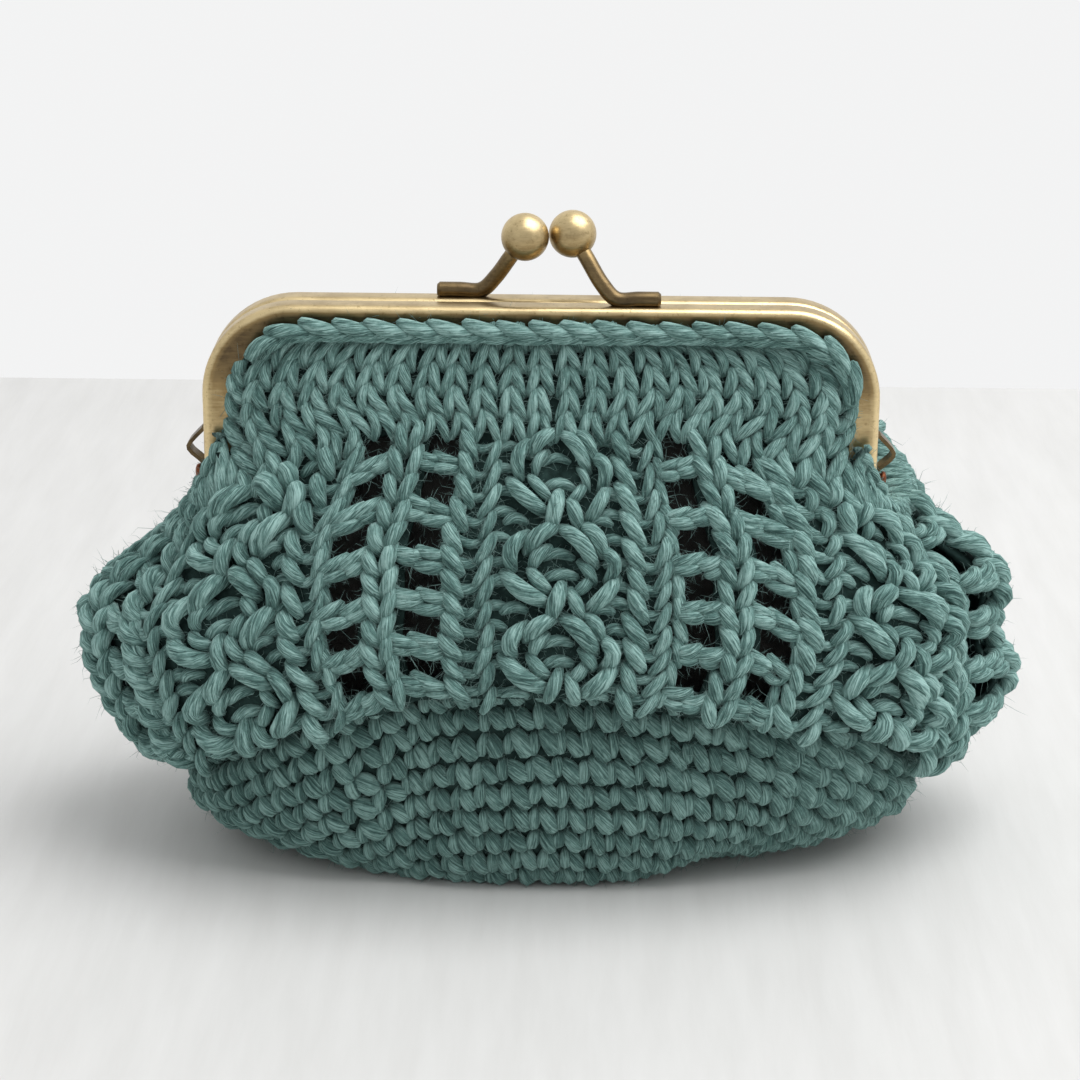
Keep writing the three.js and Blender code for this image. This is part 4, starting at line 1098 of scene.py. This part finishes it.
crochet_yarn, under_yarn = Strands(dipping_frame), Strands(base_frame)
crochet_rounds(crochet_yarn)
crochet_under(under_yarn)
crochet_wall = crochet_yarn.piece("crochet_stitches_wall", CROCHET, "crochet_wool", floor=YARN_FLOOR)
crochet_floor = under_yarn.piece("crochet_stitches_under", CROCHET, "crochet_wool", floor=YARN_FLOOR)
crochet_fuzz = fuzz("crochet_fuzz", [crochet_yarn], (9000,), FIBRE, "crochet_wool")


def crochet_ground():
    """The base behind its stitches, from the middle of the bottom to just under the rim."""
    bm = cell_sheet(96, 24)
    places = np.array([vert.co for vert in bm.verts])
    station = (places[:, 0] + 0.5) * STATIONS
    rim = np.interp(station, BASE_STATIONS, BASE_RIM)
    low, high = 0.1 - UNDER_RADIUS, rim - 0.5
    run = low + (0.5 - places[:, 1]) * (high - low)
    place, out, _ = base_frame(station / STATIONS * CROCHET_STITCHES, run / BASE_ROW)
    settle(bm, place - out * BASE_GROUND_DEPTH, gap=0.05)
    return bm


base_ground = piece_from(crochet_ground(), "crochet_ground", BASE_GROUND, "crochet_wool", "crochet_base")
thicken(base_ground, GROUND_THICKNESS)


# Lining.
def lining_bag():
    wide = curve_through(LINING_LEVELS["z"], LINING_LEVELS["half_width"])
    deep = curve_through(LINING_LEVELS["z"], LINING_LEVELS["half_depth"])
    power = 2 / LINING_SQUARENESS
    bm = cell_sheet(72, 40)
    for vert in bm.verts:
        turn = (vert.co.x + 0.5) * 2 * math.pi
        down = 0.5 - vert.co.y
        z = LINING_TOP - down * (LINING_TOP - LINING_BOTTOM + LINING_UNDER)
        shrink = min(1.0, max(0.0, 1 - (LINING_BOTTOM - z) / LINING_UNDER))
        z = max(z, LINING_BOTTOM)
        sine, cosine = math.sin(turn), math.cos(turn)
        x = (wide(z) - LINING_CLEAR) * math.copysign(abs(sine) ** power, sine)
        y = -(deep(z) - LINING_CLEAR) * math.copysign(abs(cosine) ** power, cosine)
        vert.co = (x * shrink, y * shrink, z)
    close_up(bm, gap=0.05)
    return bm


lining = piece_from(lining_bag(), "lining_bag", CLOTH, "lining_cloth", "lining")
thicken(lining, LINING_THICKNESS)


# Chain edging.
def edge_chain(name, front, node):
    """Chain stitch along the bar: each link is an upper and a lower strand."""
    points = smooth_line(np.stack([EDGE_CHAIN[key] for key in ("x", "out", "drop")], axis=-1), 400)
    points[:, 2] = FRAME_TOP - points[:, 2]
    run = run_along(points)
    links = int(round(run[-1] / CHAIN_LINK))
    pitch = run[-1] / links
    yarn = Strands(None)
    for link in range(links):
        for strand in CHAIN_STRANDS:
            t = link + ALONG * CHAIN_STRETCH - CHAIN_LAP + strand["offset"]
            centre = points_along(points, run, np.clip(t * pitch, 0, run[-1]))
            way = unit(np.gradient(centre, axis=0))
            out = np.broadcast_to(np.array([0.0, 1.0, 0.0]), centre.shape)
            rise = unit(np.cross(way, out))
            rise = rise * np.sign(rise[:, 2:3] + 1e-6)
            swing = strand["swing"][0] + strand["swing"][1] * ALONG
            lift = strand["lift"][0] + strand["lift"][1] * ARCH
            centre = centre + rise * swing[:, None] + out * lift[:, None] + RNG.normal(0, 0.08, 3)
            size = strand["radius"] * (0.6 + 0.4 * ARCH**0.7)
            turned = np.array([-front, front, 1.0])
            yarn.add_path((centre * turned)[None], (out * turned)[None], size[None])
    return yarn.piece(name, YARN, "knit_wool", node)


chain_front = edge_chain("edge_chain_stitches_front", -1, "edge_chain_front")
chain_back = edge_chain("edge_chain_stitches_back", 1, "edge_chain_back")


# Metal frame.
def channel_section():
    half, turn = CHANNEL_THICKNESS / 2, CHANNEL_ROUND
    angles = np.linspace(0, math.pi / 2, 7)
    arc = [(turn - turn * math.sin(a), half - turn + turn * math.cos(a)) for a in angles]
    face = [(CHANNEL_DEPTH, half), (FACE_LINE, half)] + arc
    outer = face + [(depth, -y) for depth, y in reversed(face)]
    inside = half - SHEET
    inner = [(CHANNEL_DEPTH, -inside), (SHEET, -inside), (SHEET, inside), (CHANNEL_DEPTH, inside)]
    return outer + inner


def edges_among(geom):
    return [item for item in geom if isinstance(item, bmesh.types.BMEdge)]


def verts_among(geom):
    return [item for item in geom if isinstance(item, bmesh.types.BMVert)]


def sweep_channel(bm, middle):
    straight, centre = FRAME_WIDTH / 2 - FRAME_CORNER, FRAME_TOP - FRAME_CORNER
    ring = [bm.verts.new((-FRAME_WIDTH / 2 + depth, middle + y, LEG_END)) for depth, y in channel_section()]
    edges = [bm.edges.new((ring[i], ring[(i + 1) % len(ring)])) for i in range(len(ring))]
    first = list(edges)

    def push(edges, step):
        made = bmesh.ops.extrude_edge_only(bm, edges=edges)["geom"]
        bmesh.ops.translate(bm, verts=verts_among(made), vec=step)
        return edges_among(made)

    def turn(edges, x):
        made = bmesh.ops.spin(
            bm, geom=edges, cent=(x, 0, centre), axis=(0, 1, 0), dvec=(0, 0, 0), angle=math.pi / 2,
            steps=16, use_merge=False, use_normal_flip=False, use_duplicate=False,
        )["geom_last"]
        return edges_among(made)

    def far(edges, axis, sign):
        best = max(sign * vert.co[axis] for edge in edges for vert in edge.verts)
        return [edge for edge in edges if all(sign * vert.co[axis] > best - 0.01 for vert in edge.verts)]

    edges = far(push(edges, (0, 0, centre - LEG_END)), 2, 1)
    edges = turn(edges, -straight)
    edges = far(push(edges, (2 * straight, 0, 0)), 0, 1)
    edges = turn(edges, straight)
    edges = far(push(edges, (0, 0, LEG_END - centre)), 2, -1)
    for rim in (first, edges):
        bmesh.ops.contextual_create(bm, geom=rim)
    close_up(bm, gap=0.001)


def stalk_points():
    """The knob's stalk: a foot along the bar, a bend, and a straight lean to the ball."""
    middle = -(CHANNEL_THICKNESS + CLEARANCE) / 2
    foot = FRAME_TOP + STALK_RADIUS - SOLDER_SINK
    start, end = np.array((STALK_START, middle, foot)), np.array((STALK_END, middle, foot))
    bend = np.array((STALK_BEND["x"], middle + STALK_BEND["inward"], foot + STALK_BEND["rise"]))
    ball = np.array((BALL_X, BALL_Y, FRAME_TOP + BALL_HEIGHT))
    return smooth_line(np.array([start, (start + end) / 2, end, bend, (bend + ball) / 2, ball]), 41)


def add_knob(bm, turned):
    """The soldered snap knob: stalk and ball."""
    path = stalk_points()
    curve = bpy.data.curves.new("stalk", "CURVE")
    curve.dimensions = "3D"
    curve.bevel_depth, curve.bevel_resolution, curve.use_fill_caps = STALK_RADIUS, 5, True
    spline = curve.splines.new("POLY")
    spline.points.add(len(path) - 1)
    for point, co in zip(spline.points, path):
        point.co = (*co, 1.0)
    spline.points[0].radius = STALK_TIP
    holder = bpy.data.objects.new("stalk", curve)
    bpy.context.scene.collection.objects.link(holder)
    solid = bpy.data.meshes.new_from_object(holder.evaluated_get(bpy.context.evaluated_depsgraph_get()))
    before = set(bm.verts)
    bm.from_mesh(solid)
    bpy.data.objects.remove(holder)
    bpy.data.curves.remove(curve)
    bpy.data.meshes.remove(solid)
    bmesh.ops.create_uvsphere(
        bm, u_segments=40, v_segments=24, radius=BALL_RADIUS,
        matrix=Matrix.Translation((BALL_X, BALL_Y, FRAME_TOP + BALL_HEIGHT)),
    )
    new = [vert for vert in bm.verts if vert not in before]
    if turned:
        bmesh.ops.rotate(bm, verts=new, cent=(0, 0, 0), matrix=Matrix.Rotation(math.pi, 3, "Z"))
    bmesh.ops.translate(bm, verts=new, vec=(CLASP_SHIFT, 0, 0))


def add_ears(bm, outside):
    """Flat ears at the legs' ends, where the rivets go through."""
    ear_out = FRAME_WIDTH / 2 if outside else FRAME_WIDTH / 2 - EAR["inset"]
    low = -EAR["half_depth"]
    high = EAR["half_depth"] if outside else CHANNEL_THICKNESS - EAR["short"]
    for side in (-1, 1):
        made = bmesh.ops.create_cube(bm, size=1.0)["verts"]
        bmesh.ops.scale(bm, vec=(EAR["thickness"], high - low, EAR["height"]), verts=made)
        place = (side * (ear_out - EAR["thickness"] / 2), (low + high) / 2, LEG_END + EAR["height"] / 2)
        bmesh.ops.translate(bm, vec=place, verts=made)


def bar_wear_and_painted_light(places):
    """How bright the bar is: rubbed and with a painted highlight on its rounded edges, light with a painted
    reflection of the pale floor and wall on its legs, brown with patina and painted shade on its face under
    the top.
    """
    x, z = np.abs(places[:, 0]), places[:, 2]
    past_leg = np.maximum(x - FRAME_WIDTH / 2 + FRAME_CORNER, 0)
    past_top = np.maximum(z - FRAME_TOP + FRAME_CORNER, 0)
    depth = FRAME_CORNER - np.hypot(past_leg, past_top)
    leg = 1 - smoothstep(FRAME_TOP - 22, FRAME_TOP - 8, z)
    edge = np.exp(-(((depth - 0.5) / 0.75) ** 2))
    face = smoothstep(0.9, 1.6, depth)
    bar = 0.3 * (1 - face) + 0.12 * face + 0.65 * edge
    return bar + (0.88 + 0.1 * edge - bar) * leg * 0.9


def knob_wear_and_painted_light(places):
    """The ball is bright, rubbed and lighter towards its top with a painted highlight; the stalk is less
    bright and darker low down with painted shade, and the joint between them is dark.
    """
    above = places[:, 2] - FRAME_TOP - BALL_HEIGHT
    ball = smoothstep(-BALL_RADIUS, -BALL_RADIUS + 1.6, above)
    foot = smoothstep(0.4, 2.6, places[:, 2] - FRAME_TOP)
    return 0.12 + 0.12 * foot + (0.24 + 0.36 * smoothstep(-2.5, 3.5, above)) * ball


def set_wear_and_painted_light(piece, worn_and_painted):
    """How bright the metal is from wear, and on the frame also from painted highlight and shade: one
    number, or one for each point.
    """
    values = np.full(len(piece.data.vertices), worn_and_painted, np.float32)
    piece.data.attributes.new("wear_and_painted_light", "FLOAT", "POINT").data.foreach_set("value", values)


def frame_half(name, front, node):
    bm = bmesh.new()
    sweep_channel(bm, front * (CHANNEL_THICKNESS + CLEARANCE) / 2)
    add_ears(bm, front < 0)
    bar_verts = len(bm.verts)
    add_knob(bm, front > 0)
    places = np.array([vert.co for vert in bm.verts])
    # Wear with painted highlight, reflection and shade, for the bar and the knob.
    worn_and_painted = np.concatenate([bar_wear_and_painted_light(places[:bar_verts]), knob_wear_and_painted_light(places[bar_verts:])])
    set_wear_and_painted_light(piece_from(bm, name, BRASS, "antique_brass", node, sharp=40), worn_and_painted)


frame_half("frame_front_metal", -1, "frame_half_front")
frame_half("frame_back_metal", 1, "frame_half_back")


def rivet(name, side, node):
    legs = FRAME_WIDTH / 2
    outer, inner = legs + RIVET_OUT, legs - RIVET_IN
    bm = bmesh.new()
    profile = [
        (0, inner - 0.8), (1.2, inner - 0.8), (RIVET_HEAD, inner - 0.6), (RIVET_HEAD, inner),
        (RIVET_RADIUS, inner), (RIVET_RADIUS, outer), (RIVET_HEAD, outer), (RIVET_HEAD, outer + 0.35),
        (1.15, outer + 0.62), (0.7, outer + 0.8), (0, outer + 0.85),
    ]
    verts = [bm.verts.new((side * along, r, HINGE_HEIGHT)) for r, along in profile]
    edges = [bm.edges.new(pair) for pair in zip(verts, verts[1:])]
    bmesh.ops.spin(
        bm, geom=verts + edges, cent=(0, 0, HINGE_HEIGHT), axis=(1, 0, 0), dvec=(0, 0, 0),
        angle=2 * math.pi, steps=28, use_merge=True, use_normal_flip=False, use_duplicate=False,
    )
    close_up(bm, gap=0.001)
    set_wear_and_painted_light(piece_from(bm, name, RIVET, "antique_brass", node, sharp=40), 0.45)


def chain_loop(name, side, node):
    """A thin strap bent out from the rivet and back to the leg."""
    legs = FRAME_WIDTH / 2 + CLEARANCE + LOOP_GAP
    bm = bmesh.new()
    verts = [
        bm.verts.new((side * (legs + out), -LOOP_WIDTH / 2, HINGE_HEIGHT + rise))
        for out, rise in zip(LOOP_PATH["out"], LOOP_PATH["rise"])
    ]
    edges = [bm.edges.new(pair) for pair in zip(verts, verts[1:])]
    made = bmesh.ops.extrude_edge_only(bm, edges=edges)["geom"]
    bmesh.ops.translate(bm, verts=verts_among(made), vec=(0, LOOP_WIDTH, 0))
    bmesh.ops.recalc_face_normals(bm, faces=bm.faces)
    bmesh.ops.solidify(bm, geom=bm.faces, thickness=LOOP_THICKNESS)
    bmesh.ops.recalc_face_normals(bm, faces=bm.faces)
    set_wear_and_painted_light(piece_from(bm, name, BRASS, "antique_brass", node, sharp=50), 0.15)


for side, hand in ((1, "right"), (-1, "left")):
    rivet(f"rivet_{hand}", side, f"hinge_rivet_{hand}")
    chain_loop(f"loop_{hand}", side, f"chain_loop_{hand}")


# Floor, light and camera.
def studio():
    bm = bmesh.new()
    bmesh.ops.create_grid(bm, x_segments=1, y_segments=1, size=0.7)
    bmesh.ops.translate(bm, verts=bm.verts, vec=(0, -0.4, 0))
    mesh = bpy.data.meshes.new("floor")
    bm.to_mesh(mesh)
    bm.free()
    mesh.materials.append(FLOOR)
    floor = bpy.data.objects.new("floor", mesh)
    bpy.context.scene.collection.objects.link(floor)
    world = bpy.data.worlds.new("studio")
    bpy.context.scene.world = world
    world.use_nodes = True
    nodes, links = world.node_tree.nodes, world.node_tree.links
    coords = nodes.new("ShaderNodeTexCoord")
    split = nodes.new("ShaderNodeSeparateXYZ")
    links.new(coords.outputs["Generated"], split.inputs[0])
    slant = nodes.new("ShaderNodeMath")
    slant.operation = "MULTIPLY_ADD"
    slant.inputs[1].default_value = 0.55
    links.new(split.outputs["X"], slant.inputs[0])
    links.new(split.outputs["Y"], slant.inputs[2])
    rise = nodes.new("ShaderNodeMapRange")
    rise.inputs["From Min"].default_value, rise.inputs["From Max"].default_value = -0.8, 0.8
    rise.inputs["To Min"].default_value, rise.inputs["To Max"].default_value = 0.56, 0.9
    links.new(slant.outputs[0], rise.inputs["Value"])
    nodes["Background"].inputs["Color"].default_value = (0.995, 0.998, 1.0, 1.0)
    links.new(rise.outputs["Result"], nodes["Background"].inputs["Strength"])

    aim = Vector((0.0, 0.0, 0.05))

    def area(name, place, size, watts):
        light = bpy.data.lights.new(name, "AREA")
        light.shape, light.size, light.energy = "SQUARE", size, watts
        made = bpy.data.objects.new(name, light)
        made.location = place
        made.rotation_euler = (aim - Vector(place)).to_track_quat("-Z", "Y").to_euler()
        bpy.context.scene.collection.objects.link(made)

    area("window", (0.42, -0.05, 0.92), 0.85, 8.0)
    area("fill", (-0.6, -0.7, 0.6), 0.9, 0.3)


CAMERA = {
    "distance": 0.520, "elevation": 19.0, "azimuth": 0.83, "roll": 0.39,
    "target": (0.0, 0.0, 0.0557), "lens": 95.38,
}


def photograph():
    data = bpy.data.cameras.new("camera")
    data.lens, data.sensor_width = CAMERA["lens"], 36.0
    data.clip_start, data.clip_end = 0.01, 50.0
    camera = bpy.data.objects.new("camera", data)
    e, a = math.radians(CAMERA["elevation"]), math.radians(CAMERA["azimuth"])
    target = Vector(CAMERA["target"])
    away = Vector((math.sin(a) * math.cos(e), -math.cos(a) * math.cos(e), math.sin(e)))
    camera.location = target + away * CAMERA["distance"]
    look = (-away).to_track_quat("-Z", "Y").to_matrix()
    camera.rotation_euler = (look @ Matrix.Rotation(math.radians(CAMERA["roll"]), 3, "Z")).to_euler()
    bpy.context.scene.collection.objects.link(camera)
    bpy.context.scene.camera = camera


studio()
photograph()
bpy.context.scene.view_settings.view_transform = "Standard"
